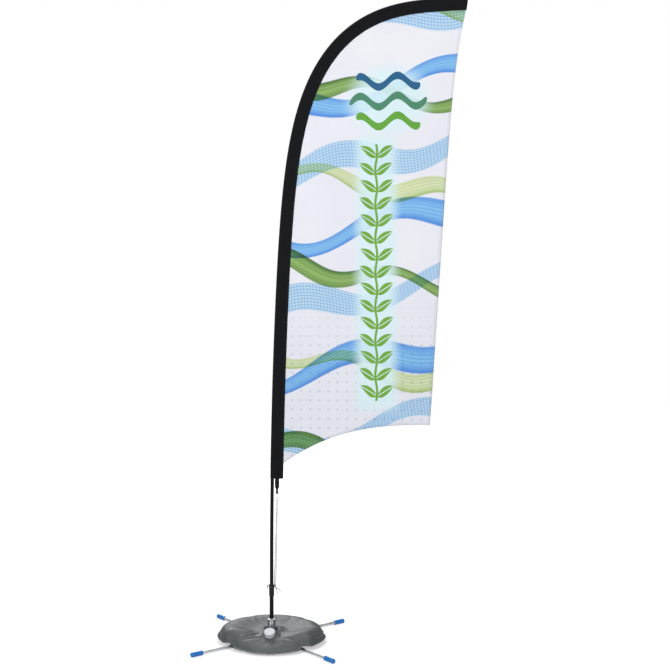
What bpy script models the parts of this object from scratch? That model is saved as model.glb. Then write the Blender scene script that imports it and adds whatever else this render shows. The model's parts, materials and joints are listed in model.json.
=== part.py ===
"""A feather flag: a banner on a curved pole that spins on a folding cross base, held down by a water bag.

Metres, +Z up. The origin is on the floor, on the mast's axis. +X runs from the mast to the free edge.
"""

from math import atan2, cos, hypot, pi, radians, sin, sqrt

import bmesh
import bpy
import numpy as np
from mathutils import Matrix, Vector

MM = 0.001
GAP = 0.3 * MM

# Cross base
LEG_REACH = 0.420
LEG_ANGLES = (45, 135, 225, 315)
LEG_RADIUS = 6.5 * MM
LEG_CAP_RADIUS = 10 * MM
LEG_CAP_LENGTH = 57 * MM
PIVOT_OFFSET = 22 * MM
PLATE_RADIUS = 38 * MM
PLATE_THICKNESS = 3.1 * MM
TONGUE_THICKNESS = 6 * MM
TONGUE_WIDTH = 16 * MM
PAD_THICKNESS = 3.3 * MM
BOLT_RADIUS = 3 * MM
CENTRE_SCREW_RADIUS = 4 * MM

# Hub
HUB_RADIUS = 17.5 * MM
HUB_TOP = 86.3 * MM
BORE_RADIUS = 13.6 * MM
BALL_RADIUS = 1.4 * MM
BALL_CIRCLE = 10 * MM
BALL_COUNT = 8
RACE_HEIGHT = 6 * MM
LOWER_RACE = 23.3 * MM
UPPER_RACE = 76.2 * MM
SPINDLE_RADIUS = 6 * MM
PIN_RADIUS = 7.3 * MM
PIN_TOP = 160 * MM

# Mast
FOOT_TUBE_RADIUS = 9 * MM
FOOT_TUBE_BORE = 7.6 * MM
FOOT_TUBE_BOTTOM = 91.8 * MM
FOOT_TUBE_TOP = 200 * MM
POLE_RADIUS = 8 * MM
POLE_BORE = 6.6 * MM
ROD_RADIUS = 5.8 * MM
TIP_RADIUS = 4 * MM
BEND_START = 0.300
BEND_LENGTH = 2.972
LEAN_DEGREES = 6.2
HOOK_DEGREES = 83.3
HOOK_POWER = 8.5
HOOK_SPREAD = 4.1

# Flag
SLEEVE_BOTTOM = 0.406
SLEEVE_RADIUS = 9.2 * MM
SLEEVE_WIDTH = 48.5 * MM
SLEEVE_WALL = 0.6 * MM
PANEL_THICKNESS = 0.5 * MM
PANEL_BOTTOM = 0.472
FREE_CORNER = (0.687, 0.947)
FREE_SLOPE = 0.064
TIP_SLANT = 0.148

# Tension gear, on the line of the strap
STRAP_X = 24 * MM
STRAP_WIDTH = 20 * MM
RING_HEIGHT = 0.633
RING_RADIUS = 9.5 * MM
RING_WIRE = 1.4 * MM
CORD_RADIUS = 1.7 * MM
COLLAR_BOTTOM = 190 * MM
COLLAR_TOP = 242 * MM
COLLAR_RADIUS = 11.5 * MM
HOOK_REACH = 18.8 * MM

# Water bag and its valve
BAG_RADIUS = 0.244
BAG_HOLE = 0.024
BAG_TOP = 0.065
LEG_CLEARANCE = 17.8 * MM
VALVE_SEAT = Vector((0.005, -0.0941, 0.0467))
VALVE_TILT = radians(24)
NECK_RADIUS = 19 * MM
CAP_RADIUS = 23.5 * MM

MATERIALS = {
    "chrome": ((0.80, 0.81, 0.83), 0.12, 1.0),
    "steel": ((0.62, 0.63, 0.65), 0.35, 1.0),
    "zinc": ((0.55, 0.56, 0.58), 0.45, 1.0),
    "rubber": ((0.03, 0.03, 0.03), 0.85, 0.0),
    "blue_plastic": ((0.02, 0.12, 0.55), 0.35, 0.0),
    "black_plastic": ((0.02, 0.02, 0.02), 0.40, 0.0),
    "white_plastic": ((0.85, 0.86, 0.88), 0.35, 0.0),
    "pole_black": ((0.012, 0.012, 0.013), 0.30, 0.0),
    "black_fabric": ((0.012, 0.013, 0.018), 0.80, 0.0),
    "banner_fabric": ((0.25, 0.45, 0.80), 0.70, 0.0),
    "cord": ((0.55, 0.56, 0.58), 0.75, 0.0),
    "bag_pvc": ((0.16, 0.17, 0.18), 0.50, 0.0),
}


def start_empty():
    for obj in list(bpy.data.objects):
        bpy.data.objects.remove(obj, do_unlink=True)


def material(name):
    found = bpy.data.materials.get(name)
    if found:
        return found
    colour, roughness, metallic = MATERIALS[name]
    made = bpy.data.materials.new(name)
    made.use_nodes = True
    shader = made.node_tree.nodes["Principled BSDF"]
    shader.inputs["Base Color"].default_value = (*colour, 1.0)
    shader.inputs["Roughness"].default_value = roughness
    shader.inputs["Metallic"].default_value = metallic
    return made


def frame_empty(name, location, rotation=(0, 0, 0), parent=None):
    empty = bpy.data.objects.new(name, None)
    empty.empty_display_size = 0.05
    empty.location = location
    empty.rotation_euler = rotation
    empty.parent = parent
    bpy.context.collection.objects.link(empty)
    return empty


def add_object(name, shape, material_name, parent=None, location=(0, 0, 0)):
    """An object from a bmesh, placed under its parent, with round faces smooth and corners sharp."""
    mesh = bpy.data.meshes.new(name)
    bmesh.ops.recalc_face_normals(shape, faces=shape.faces)
    shape.to_mesh(mesh)
    shape.free()
    mesh.shade_smooth()
    mesh.set_sharp_from_angle(angle=radians(35))
    obj = bpy.data.objects.new(name, mesh)
    obj.data.materials.append(material(material_name))
    obj.parent = parent
    obj.location = location
    bpy.context.collection.objects.link(obj)
    return obj


def skin(rings, end_to_end=False):
    """Faces between rings of equal length, capped at both ends or joined end to end."""
    shape = bmesh.new()
    rows = [[shape.verts.new(point) for point in ring] for ring in rings]
    if not end_to_end:
        shape.faces.new(rows[0])
        shape.faces.new(rows[-1])
    for low, high in zip(rows, rows[1:] + rows[:1] if end_to_end else rows[1:]):
        for i, corner in enumerate(low):
            after = (i + 1) % len(low)
            shape.faces.new((corner, low[after], high[after], high[i]))
    return shape


def circle(radius, height, segments):
    angles = [2 * pi * i / segments for i in range(segments)]
    return [(radius * cos(a), radius * sin(a), height) for a in angles]


def hexagon(radius, height):
    """A hexagon of twelve points: its corners and the middles of its sides."""
    points = []
    for i in range(12):
        reach = radius if i % 2 == 0 else radius * cos(pi / 6)
        points.append((reach * cos(i * pi / 6), reach * sin(i * pi / 6), height))
    return points


def turned(profile, segments, hollow=False):
    """A round solid from its (radius, height) profile. A hollow one's profile is a closed outline."""
    return skin([circle(r, z, segments) for r, z in profile], end_to_end=hollow)


def millimetres(*pairs):
    return [(a * MM, b * MM) for a, b in pairs]


def tube_between(low, high, outer, inner, segments=24):
    profile = [(outer, low), (outer, high), (inner, high), (inner, low)]
    return turned(profile, segments, hollow=True)


def path_frames(points):
    """The points of a path, each with two directions across it that don't twist along the way."""
    points = [Vector(p) for p in points]
    steps = [(b - a).normalized() for a, b in zip(points, points[1:])]
    along = [steps[0]]
    along += [(a + b).normalized() for a, b in zip(steps, steps[1:])]
    along.append(steps[-1])
    side = along[0].orthogonal().normalized()
    frames = []
    for i, point in enumerate(points):
        if i:
            side = along[i - 1].rotation_difference(along[i]) @ side
        frames.append((point, side, along[i].cross(side)))
    return frames


def swept(points, radii, segments):
    """A round bar along a path, with a radius at each point."""
    rings = []
    for (point, side, up), radius in zip(path_frames(points), radii):
        flat = circle(radius, 0, segments)
        rings.append([point + side * x + up * y for x, y, _ in flat])
    return skin(rings)


def combine(obj, other, operation):
    """Joins or cuts an object with a helper that is hidden afterwards."""
    boolean = obj.modifiers.new(other.name, "BOOLEAN")
    boolean.object = other
    boolean.operation = operation
    boolean.solver = "EXACT"
    other.hide_render = True
    other.display_type = "WIRE"


def cylinder_shape(radius, low, high, segments=16, centres=((0, 0),)):
    """Upright cylinders in one mesh."""
    shape = bmesh.new()
    for x, y in centres:
        turn = Matrix.Translation((x, y, (low + high) / 2))
        bmesh.ops.create_cone(
            shape,
            cap_ends=True,
            segments=segments,
            radius1=radius,
            radius2=radius,
            depth=high - low,
            matrix=turn,
        )
    return shape


def smooth_step(value):
    value = min(max(value, 0.0), 1.0)
    return value * value * (3 - 2 * value)


# ---------------------------------------------------------------- cross base

PLATE_LOW = PAD_THICKNESS + GAP
TONGUE_LOW = PLATE_LOW + PLATE_THICKNESS + GAP
LEG_HEIGHT = LEG_CAP_RADIUS
PLATE_HIGH = LEG_HEIGHT + TONGUE_THICKNESS / 2 + GAP
PLATES_TOP = PLATE_HIGH + PLATE_THICKNESS
PIVOT_CIRCLE = hypot(PIVOT_OFFSET, PIVOT_OFFSET)
PIVOTS = [(PIVOT_CIRCLE * cos(radians(a)), PIVOT_CIRCLE * sin(radians(a))) for a in LEG_ANGLES]


def make_plate(name, low):
    plate = add_object(name, turned([(PLATE_RADIUS, low), (PLATE_RADIUS, low + PLATE_THICKNESS)], 32), "zinc")
    holes = cylinder_shape(BOLT_RADIUS + GAP, low - MM, low + PLATE_THICKNESS + MM, 12, PIVOTS)
    combine(plate, add_object(name + "_bolt_holes", holes, "zinc"), "DIFFERENCE")
    centre = cylinder_shape(CENTRE_SCREW_RADIUS + GAP, low - MM, low + PLATE_THICKNESS + MM, 16)
    combine(plate, add_object(name + "_centre_hole", centre, "zinc"), "DIFFERENCE")


def make_centre():
    """The rubber pad, the screw through both plates and the spacer between them."""
    recess = 7.5 * MM
    pad = [(22 * MM, 0), (22 * MM, PAD_THICKNESS), (recess, PAD_THICKNESS), (recess, 1.1 * MM)]
    add_object("foot_pad", turned(pad, 24), "rubber")
    head_low = 1.4 * MM
    top = PLATES_TOP + 3.3 * MM
    screw = [(7 * MM, head_low), (7 * MM, PAD_THICKNESS)]
    screw += [(CENTRE_SCREW_RADIUS, PAD_THICKNESS), (CENTRE_SCREW_RADIUS, top)]
    add_object("centre_screw", turned(screw, 16), "zinc")
    spacer = tube_between(TONGUE_LOW, PLATE_HIGH - GAP, 9 * MM, CENTRE_SCREW_RADIUS + GAP)
    add_object("plate_spacer", spacer, "steel")


def leg_ring(x, width, height, squareness):
    """Sixteen points across a leg, from a flat tongue's outline to a round one."""
    points = []
    for i in range(16):
        c = cos(i * pi / 8)
        s = sin(i * pi / 8)
        y = width * (abs(c) ** squareness) * (1 if c >= 0 else -1) if abs(c) > 1e-9 else 0.0
        z = height * (abs(s) ** squareness) * (1 if s >= 0 else -1) if abs(s) > 1e-9 else 0.0
        points.append((x, y, z))
    return points


def make_leg(number, angle):
    """One leg, built along +X from its pivot bolt: a flattened tongue that opens into a tube, and its cap."""
    place = (PIVOT_CIRCLE * cos(radians(angle)), PIVOT_CIRCLE * sin(radians(angle)), LEG_HEIGHT)
    pivot = frame_empty(f"leg_pivot_{number}", place, (0, 0, radians(angle)))
    half = TONGUE_WIDTH / 2
    thin = TONGUE_THICKNESS / 2
    cap_end = LEG_REACH - PIVOT_CIRCLE
    tube_end = cap_end - 9 * MM
    rings = [leg_ring(-d, sqrt(half * half - d * d), thin, 0.3) for d in (7.6 * MM, 5.5 * MM)]
    rings.append(leg_ring(0, half, thin, 0.3))
    for part in range(4):
        share = smooth_step(part / 3)
        width = half + (LEG_RADIUS - half) * share
        height = thin + (LEG_RADIUS - thin) * share
        rings.append(leg_ring((32 + 8 * part) * MM, width, height, 0.3 + 0.7 * share))
    rings.append(leg_ring(tube_end, LEG_RADIUS, LEG_RADIUS, 1))
    rings.append(leg_ring(tube_end, 5 * MM, 5 * MM, 1))
    rings.append(leg_ring(60 * MM, 5 * MM, 5 * MM, 1))
    leg = add_object(f"leg_tube_{number}", skin(rings), "steel", pivot)
    hole = cylinder_shape(BOLT_RADIUS + GAP, -thin - MM, thin + MM, 12)
    combine(leg, add_object(f"leg_hole_{number}", hole, "steel", pivot), "DIFFERENCE")
    make_leg_cap(number, pivot, tube_end, cap_end)
    make_pivot_bolt(number, place)


def make_leg_cap(number, pivot, tube_end, cap_end):
    bore = LEG_RADIUS + GAP
    mouth = cap_end - LEG_CAP_LENGTH
    profile = [(bore, tube_end + GAP), (bore, mouth), (LEG_CAP_RADIUS - 0.8 * MM, mouth)]
    profile.append((LEG_CAP_RADIUS, mouth + 1.5 * MM))
    rounding = 6.5 * MM
    for step in range(4):
        turn = step * pi / 6.6
        profile.append((LEG_CAP_RADIUS - rounding * (1 - cos(turn)), cap_end - rounding * (1 - sin(turn))))
    rings = [leg_ring(x, r, r, 1) for r, x in profile]
    add_object(f"leg_cap_{number}", skin(rings), "blue_plastic", pivot)


def make_pivot_bolt(number, place):
    """The bolt has its head under the plates, beside the pad, and its nut on top."""
    spot = (place[0], place[1], 0)
    head = 4.6 * MM
    head_low = 0.8 * MM
    nut_low = PLATES_TOP + GAP
    nut_top = nut_low + 2.8 * MM
    rings = [hexagon(head, head_low), hexagon(head, PAD_THICKNESS)]
    rings += [circle(BOLT_RADIUS, PAD_THICKNESS, 12), circle(BOLT_RADIUS, nut_top, 12)]
    add_object(f"pivot_bolt_{number}", skin(rings), "zinc", None, spot)
    hole = BOLT_RADIUS + GAP
    nut = [hexagon(5.5 * MM, nut_low), hexagon(5.5 * MM, nut_top)]
    nut += [circle(hole, nut_top, 12), circle(hole, nut_low, 12)]
    add_object(f"pivot_nut_{number}", skin(nut, end_to_end=True), "zinc", None, spot)


# ---------------------------------------------------------------- hub and spindle

GROOVE_LOW = UPPER_RACE + RACE_HEIGHT + 0.1 * MM
GROOVE_HIGH = GROOVE_LOW + 1.6 * MM
FLANGE_LOW = HUB_TOP + GAP
FLANGE_TOP = FLANGE_LOW + 3.3 * MM


def make_housing():
    """A turned cup: a screw hole in its floor, a shoulder for the lower bearing and a groove near its top."""
    floor = PLATES_TOP + GAP
    shoulder = LOWER_RACE - GAP
    recess = shoulder - 3 * MM
    hole = CENTRE_SCREW_RADIUS + GAP
    groove = BORE_RADIUS + 0.8 * MM
    chamfer = 0.6 * MM
    profile = [
        (HUB_RADIUS - chamfer, floor),
        (HUB_RADIUS, floor + chamfer),
        (HUB_RADIUS, HUB_TOP - chamfer),
        (HUB_RADIUS - chamfer, HUB_TOP),
        (BORE_RADIUS, HUB_TOP),
        (BORE_RADIUS, GROOVE_HIGH),
        (groove, GROOVE_HIGH),
        (groove, GROOVE_LOW),
        (BORE_RADIUS, GROOVE_LOW),
        (BORE_RADIUS, shoulder),
        (10 * MM, shoulder),
        (10 * MM, recess),
        (hole, recess),
        (hole, floor),
    ]
    add_object("hub_housing", turned(profile, 24, hollow=True), "chrome")
    ring = tube_between(GROOVE_LOW + 0.2 * MM, GROOVE_HIGH - 0.2 * MM, groove - GAP, 9.5 * MM)
    add_object("retaining_ring", ring, "steel")
    outer = BORE_RADIUS - GAP
    spacer = tube_between(LOWER_RACE + RACE_HEIGHT + GAP, UPPER_RACE - GAP, outer, outer - 1.4 * MM)
    add_object("bearing_spacer", spacer, "steel")


def make_bearing(where, low, spin):
    """One ball bearing: two plain races and a cage that holds its balls."""
    outer = BALL_CIRCLE + BALL_RADIUS + 0.2 * MM
    inner = BALL_CIRCLE - BALL_RADIUS - 0.2 * MM
    top = low + RACE_HEIGHT
    add_object(f"outer_race_{where}", tube_between(low, top, BORE_RADIUS - GAP, outer), "steel")
    add_object(f"inner_race_{where}", tube_between(low, top, inner, SPINDLE_RADIUS + GAP), "steel", spin)
    middle = low + RACE_HEIGHT / 2
    thin = 0.6 * MM
    ring = tube_between(middle - thin, middle + thin, BALL_CIRCLE + thin, BALL_CIRCLE - thin, 16)
    cage = add_object(f"ball_cage_{where}", ring, "steel", spin)
    balls = bmesh.new()
    for i in range(BALL_COUNT):
        turn = 2 * pi * i / BALL_COUNT
        place = Matrix.Translation((BALL_CIRCLE * cos(turn), BALL_CIRCLE * sin(turn), middle))
        bmesh.ops.create_uvsphere(balls, u_segments=8, v_segments=5, radius=BALL_RADIUS, matrix=place)
    combine(cage, add_object(f"balls_{where}", balls, "steel", spin), "UNION")


def make_spindle(spin):
    """The turning shaft, with a flange over the housing and a pin that the foot tube slides on."""
    bottom = LOWER_RACE - 2.9 * MM
    clip_low = bottom + 0.9 * MM
    clip_high = clip_low + 1.4 * MM
    groove = 5.2 * MM
    shoulder = 8 * MM
    profile = [
        (SPINDLE_RADIUS, bottom),
        (SPINDLE_RADIUS, clip_low),
        (groove, clip_low),
        (groove, clip_high),
        (SPINDLE_RADIUS, clip_high),
        (SPINDLE_RADIUS, UPPER_RACE + RACE_HEIGHT + GAP),
        (shoulder, UPPER_RACE + RACE_HEIGHT + GAP),
        (shoulder, FLANGE_LOW),
        (HUB_RADIUS - MM, FLANGE_LOW),
        (HUB_RADIUS - MM, FLANGE_TOP - MM),
        (HUB_RADIUS - 2.5 * MM, FLANGE_TOP),
        (PIN_RADIUS, FLANGE_TOP),
        (PIN_RADIUS, PIN_TOP - 2 * MM),
        (PIN_RADIUS - 2 * MM, PIN_TOP),
    ]
    add_object("spindle", turned(profile, 24), "chrome", spin)
    make_circlip(spin, clip_low + 0.1 * MM, clip_high - 0.1 * MM, groove + GAP)
    washer = tube_between(FLANGE_TOP + GAP, FOOT_TUBE_BOTTOM - GAP, 11 * MM, PIN_RADIUS + GAP)
    add_object("slip_washer", washer, "white_plastic", spin)


def make_circlip(spin, low, high, inner):
    """An open ring, so that it can be sprung into the spindle's groove."""
    outer = 8.2 * MM
    opening = radians(50)
    rings = []
    for i in range(17):
        turn = opening / 2 + (2 * pi - opening) * i / 16
        across = ((inner, low), (outer, low), (outer, high), (inner, high))
        rings.append([(r * cos(turn), r * sin(turn), z) for r, z in across])
    add_object("spindle_circlip", skin(rings), "steel", spin)


# ---------------------------------------------------------------- mast


def bend_table():
    """Places and angles along the mast's axis above BEND_START.

    The lean from the vertical grows evenly, and the hook at the top adds a bell-shaped stretch of curvature.
    """
    share = np.linspace(0, 1, 1001)
    angle = np.radians(LEAN_DEGREES) * share
    angle = angle + np.radians(HOOK_DEGREES) * (1 - (1 - share**HOOK_POWER) ** HOOK_SPREAD)
    step = BEND_LENGTH / 1000
    x = np.concatenate([[0], np.cumsum((np.sin(angle[1:]) + np.sin(angle[:-1])) / 2 * step)])
    z = np.concatenate([[0], np.cumsum((np.cos(angle[1:]) + np.cos(angle[:-1])) / 2 * step)])
    return share * BEND_LENGTH, x, BEND_START + z, angle


BEND = bend_table()


def stations():
    """Distances along the mast, close together where it bends: at most 0.25 m or 7 degrees apart."""
    distance, _, _, angle = BEND
    chosen = [0.0]
    last = 0
    for i in range(1, len(distance)):
        far = distance[i] - distance[last] >= 0.25
        if far or angle[i] - angle[last] >= radians(7):
            chosen.append(float(distance[i]))
            last = i
    chosen.append(BEND_LENGTH)
    return chosen


STATIONS = stations()


def mast_point(s, offset=0.0, slant=0.0):
    """(x, z) beside the mast's axis: s along it above BEND_START, offset towards the flag, slant along it."""
    if s <= 0:
        return offset, BEND_START + s + slant
    places = np.array(STATIONS)
    index = min(int(np.searchsorted(places, s, side="left")), len(places) - 1)
    low, high = places[index - 1], places[index]
    share = (s - low) / (high - low)
    corners = []
    for at in (low, high):
        angle = np.interp(at, BEND[0], BEND[3])
        x = np.interp(at, BEND[0], BEND[1]) + offset * cos(angle)
        z = np.interp(at, BEND[0], BEND[2]) - offset * sin(angle)
        corners.append((x + slant * sin(angle), z + slant * cos(angle)))
    (x0, z0), (x1, z1) = corners
    return x0 + (x1 - x0) * share, z0 + (z1 - z0) * share


def span(low, high):
    """The stations between two distances along the mast, with both ends."""
    return [low] + [s for s in STATIONS if low + 5 * MM < s < high - 5 * MM] + [high]


def mast_ring(s, radius, segments=12):
    ring = []
    for i in range(segments):
        turn = 2 * pi * i / segments
        x, z = mast_point(s, radius * cos(turn))
        ring.append((x, radius * sin(turn), z))
    return ring


def mast_tube(name, low, high, outer, inner, material_name, parent):
    places = span(low, high)
    rings = [mast_ring(s, outer) for s in places] + [mast_ring(s, inner) for s in reversed(places)]
    return add_object(name, skin(rings, end_to_end=True), material_name, parent)


def mast_rod(name, low, high, radius, top_radius, parent, material_name="pole_black"):
    places = span(low, high)
    radii = [radius + (top_radius - radius) * (s - low) / (high - low) for s in places]
    rings = [mast_ring(s, r) for s, r in zip(places, radii)]
    return add_object(name, skin(rings), material_name, parent)


SECTION_ENDS = (0.560, 1.330, 2.130)
ROD_SOCKET = 60 * MM


def make_pole(mast):
    """Two tubes and two solid rods. Each joint is a spigot inside, a socket or a ferrule outside."""
    tube = tube_between(FOOT_TUBE_BOTTOM, FOOT_TUBE_TOP, FOOT_TUBE_RADIUS, FOOT_TUBE_BORE, 16)
    add_object("foot_tube", tube, "pole_black", mast)
    spigot = POLE_BORE - GAP
    profile = [(PIN_RADIUS, PIN_TOP + 0.5 * MM), (PIN_RADIUS, FOOT_TUBE_TOP)]
    profile += [(spigot, FOOT_TUBE_TOP), (spigot, FOOT_TUBE_TOP + ROD_SOCKET)]
    add_object("foot_spigot", turned(profile, 12), "steel", mast)
    first, second, third = SECTION_ENDS
    start = FOOT_TUBE_TOP - BEND_START + GAP
    mast_tube("pole_section_1", start, first, POLE_RADIUS, POLE_BORE, "pole_black", mast)
    mast_rod("pole_spigot", first - 40 * MM, first + 40 * MM, spigot, spigot, mast, "steel")
    mast_tube("pole_section_2", first + GAP, second, POLE_RADIUS, POLE_BORE, "pole_black", mast)
    mast_rod("pole_section_3", second - ROD_SOCKET, third, ROD_RADIUS, ROD_RADIUS, mast)
    end = BEND_LENGTH - 22 * MM
    mast_rod("pole_section_4", third + GAP, end, ROD_RADIUS, TIP_RADIUS, mast)
    mast_tube("pole_ferrule", third - 35 * MM, third + 35 * MM, 7.2 * MM, ROD_RADIUS + GAP, "steel", mast)
    cap = span(end + GAP, BEND_LENGTH - 12 * MM)
    rings = [mast_ring(s, TIP_RADIUS + MM) for s in cap]
    add_object("pole_tip_cap", skin(rings), "rubber", mast)


def make_collar(mast):
    """The collar under the flag: a domed ring over the foot tube's end, with a hook on each side."""
    tube_bore = FOOT_TUBE_RADIUS + GAP
    pole_bore = POLE_RADIUS + GAP
    step = FOOT_TUBE_TOP + 0.6 * MM
    profile = [
        (10.3 * MM, COLLAR_BOTTOM),
        (COLLAR_RADIUS, COLLAR_BOTTOM + 12 * MM),
        (COLLAR_RADIUS, COLLAR_TOP - 14 * MM),
        (10.7 * MM, COLLAR_TOP - 7 * MM),
        (9.9 * MM, COLLAR_TOP - 2.5 * MM),
        (8.9 * MM, COLLAR_TOP),
        (pole_bore, COLLAR_TOP),
        (pole_bore, step),
        (tube_bore, step),
        (tube_bore, COLLAR_BOTTOM),
    ]
    collar = add_object("hook_collar", turned(profile, 24, hollow=True), "black_plastic", mast)
    outline = millimetres((10, 233.6), (13.2, 237), (16.4, 236.9), (18.3, 234), (18.6, 227.5))
    outline.append((HOOK_REACH, 220.5 * MM))
    for side, name in ((1, "hook_right"), (-1, "hook_left")):
        rings = []
        for i, (x, z) in enumerate(outline):
            before = outline[max(i - 1, 0)]
            after = outline[min(i + 1, len(outline) - 1)]
            turn = atan2(after[1] - before[1], after[0] - before[0])
            ring = []
            for across, out in ((-2.2, -1.3), (-1.3, -1.7), (1.3, -1.7), (2.2, -1.3)):
                ring.append((side * (x - out * MM * sin(turn)), across * MM, z + out * MM * cos(turn)))
            for across, out in ((2.2, 1.3), (1.3, 1.7), (-1.3, 1.7), (-2.2, 1.3)):
                ring.append((side * (x - out * MM * sin(turn)), across * MM, z + out * MM * cos(turn)))
            rings.append(ring)
        combine(collar, add_object(name, skin(rings), "black_plastic", mast), "UNION")


# ---------------------------------------------------------------- flag


def sleeve_outline(radius, reach, edge):
    """(towards the flag, across) points: half a circle round the pole, and two flanks down to the seam."""
    points = [(radius * cos(radians(a)), radius * sin(radians(a))) for a in range(90, 271, 30)]
    return points + [(reach, -edge), (reach, edge)]


def sleeve_ring(s, outline):
    """The outline at a station. At the tip it leans along the flag's free edge."""
    ring = []
    for offset, across in outline:
        slant = -TIP_SLANT * (offset + SLEEVE_RADIUS) if s >= BEND_LENGTH else 0.0
        x, z = mast_point(s, offset, slant)
        ring.append((x, across, z))
    return ring


def make_sleeve(mast):
    outer = sleeve_outline(SLEEVE_RADIUS, SLEEVE_WIDTH, SLEEVE_WALL)
    inner = sleeve_outline(SLEEVE_RADIUS - SLEEVE_WALL, SLEEVE_WIDTH - 4.5 * MM, 0.75 * MM)
    places = span(SLEEVE_BOTTOM, BEND_LENGTH)
    rings = [sleeve_ring(s, outer) for s in places] + [sleeve_ring(s, inner) for s in reversed(places)]
    add_object("pole_sleeve", skin(rings, end_to_end=True), "black_fabric", mast)
    angle = float(BEND[3][-1])
    patch = []
    for out in (GAP, 1.5 * MM):
        ring = sleeve_ring(BEND_LENGTH, outer)
        patch.append([(x + out * sin(angle), y, z + out * cos(angle)) for x, y, z in ring])
    add_object("tip_patch", skin(patch), "black_fabric", mast)


def panel_outline():
    """Corner points of the banner, as (x, z): up the seam, down the free edge and back along the bottom."""
    offset = SLEEVE_WIDTH + GAP
    points = [mast_point(s, offset) for s in span(PANEL_BOTTOM, BEND_LENGTH)[:-1]]
    points.append(mast_point(BEND_LENGTH, offset, -TIP_SLANT * (offset + SLEEVE_RADIUS)))
    top_x, top_z = points[-1]
    corner_x, corner_z = FREE_CORNER
    height = top_z - corner_z
    flare = top_x - corner_x - FREE_SLOPE * height
    for i in range(1, 17):
        share = 1 - i / 16
        points.append((corner_x + FREE_SLOPE * height * share + flare * share**8, corner_z + height * share))
    start_x, start_z = points[0]
    for i in range(1, 12):
        share = 1 - i / 12
        x = start_x + (corner_x - start_x) * share
        points.append((x, corner_z - (corner_z - start_z) * (1 - share) ** 2.65))
    return points


def make_panel(mast):
    outline = panel_outline()
    half = PANEL_THICKNESS / 2
    rings = [[(x, y, z) for x, z in outline] for y in (-half, half)]
    add_object("banner_panel", skin(rings), "banner_fabric", mast)


# ---------------------------------------------------------------- tension gear


def make_strap(mast):
    """Doubled webbing, narrowed where its loop holds the ring. Its top is sewn inside the sleeve."""
    half = STRAP_WIDTH / 2
    thick = 1.2 * MM
    loop_height = RING_HEIGHT + RING_RADIUS - 0.8 * MM
    eye = 2.8 * MM
    rings = []
    for height, width in ((0.735, half), (0.672, half), (0.656, half / 2), (loop_height + eye, half / 2)):
        corners = ((width, -thick), (width, thick), (-width, thick), (-width, -thick))
        rings.append([(x, y, height) for x, y in corners])
    strap = add_object("tension_strap", skin(rings), "black_fabric", mast, (STRAP_X, 0, 0))
    for name, radius, length, operation in (
        ("strap_loop", eye + thick, half, "UNION"),
        ("strap_eye", eye, half + 4 * MM, "DIFFERENCE"),
    ):
        bar = add_object(name, cylinder_shape(radius, -length / 2, length / 2, 16), "black_fabric", mast)
        bar.location = (STRAP_X, 0, loop_height)
        bar.rotation_euler = (0, pi / 2, 0)
        combine(strap, bar, operation)


def make_ring(mast):
    rings = []
    for i in range(24):
        turn = 2 * pi * i / 24
        ring = []
        for j in range(8):
            roll = 2 * pi * j / 8
            reach = RING_RADIUS + RING_WIRE * cos(roll)
            ring.append((reach * cos(turn), RING_WIRE * sin(roll), reach * sin(turn)))
        rings.append(ring)
    add_object("strap_ring", skin(rings, end_to_end=True), "chrome", mast, (STRAP_X, 0, RING_HEIGHT))


TWIST_LOW = 0.575
TWIST_HIGH = 0.620
UNDER_HOOK = (
    (11.9, 6.3, 238.5),
    (12.8, 4.4, 233.9),
    (13.6, 2.3, 231.8),
    (14.1, 0, 231.4),
    (14.5, -2.8, 231.2),
    (15.8, -5.4, 231.2),
)
OVER_RING = ((-3.1, 1.7), (-1.7, 3.1), (0, 3.5), (1.7, 3.1), (3.1, 1.7))
KNOT = Vector((19.8, -7.6, 229.5)) * MM
KNOT_RADIUS = 4 * MM


def twist_points(side, upward):
    """One strand of the twisted stretch: one and a quarter turns round the other strand."""
    points = []
    for i in range(9):
        share = i / 8
        turn = (0 if side > 0 else pi) - radians(450) * share
        reach = (2.0 + 1.4 * share**2) * MM
        height = TWIST_LOW + (TWIST_HIGH - TWIST_LOW) * share
        points.append(Vector((STRAP_X + reach * cos(turn), reach * sin(turn), height)))
    return points if upward else points[::-1]


def straight(start, end, count):
    return [start.lerp(end, i / count) for i in range(1, count)]


def cord_points():
    """From the knot up through the ring, back down behind the pole and under the hook to the knot."""
    first = Vector((19.4, -7.3, 233.8)) * MM
    rise = Vector((19.2, -6.9, 243)) * MM
    up = twist_points(1, True)
    low_bend = RING_HEIGHT - RING_RADIUS
    over = [Vector((STRAP_X, y * MM, low_bend + z * MM)) for y, z in OVER_RING]
    down = twist_points(-1, False)
    drop = Vector((11.6, 7.0, 245)) * MM
    under = [Vector(p) * MM for p in UNDER_HOOK]
    points = [first, rise] + straight(rise, up[0], 26) + up + over + down
    return points + straight(down[-1], drop, 26) + [drop] + under


def make_cord(mast):
    points = cord_points()
    curve = bpy.data.curves.new("tension_cord", "CURVE")
    curve.dimensions = "3D"
    curve.bevel_depth = CORD_RADIUS
    curve.bevel_resolution = 2
    curve.use_fill_caps = True
    line = curve.splines.new("POLY")
    line.points.add(len(points) - 1)
    for spot, point in zip(line.points, points):
        spot.co = (*point, 1.0)
    cord = bpy.data.objects.new("tension_cord", curve)
    curve.materials.append(material("cord"))
    cord.parent = mast
    bpy.context.collection.objects.link(cord)


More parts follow.
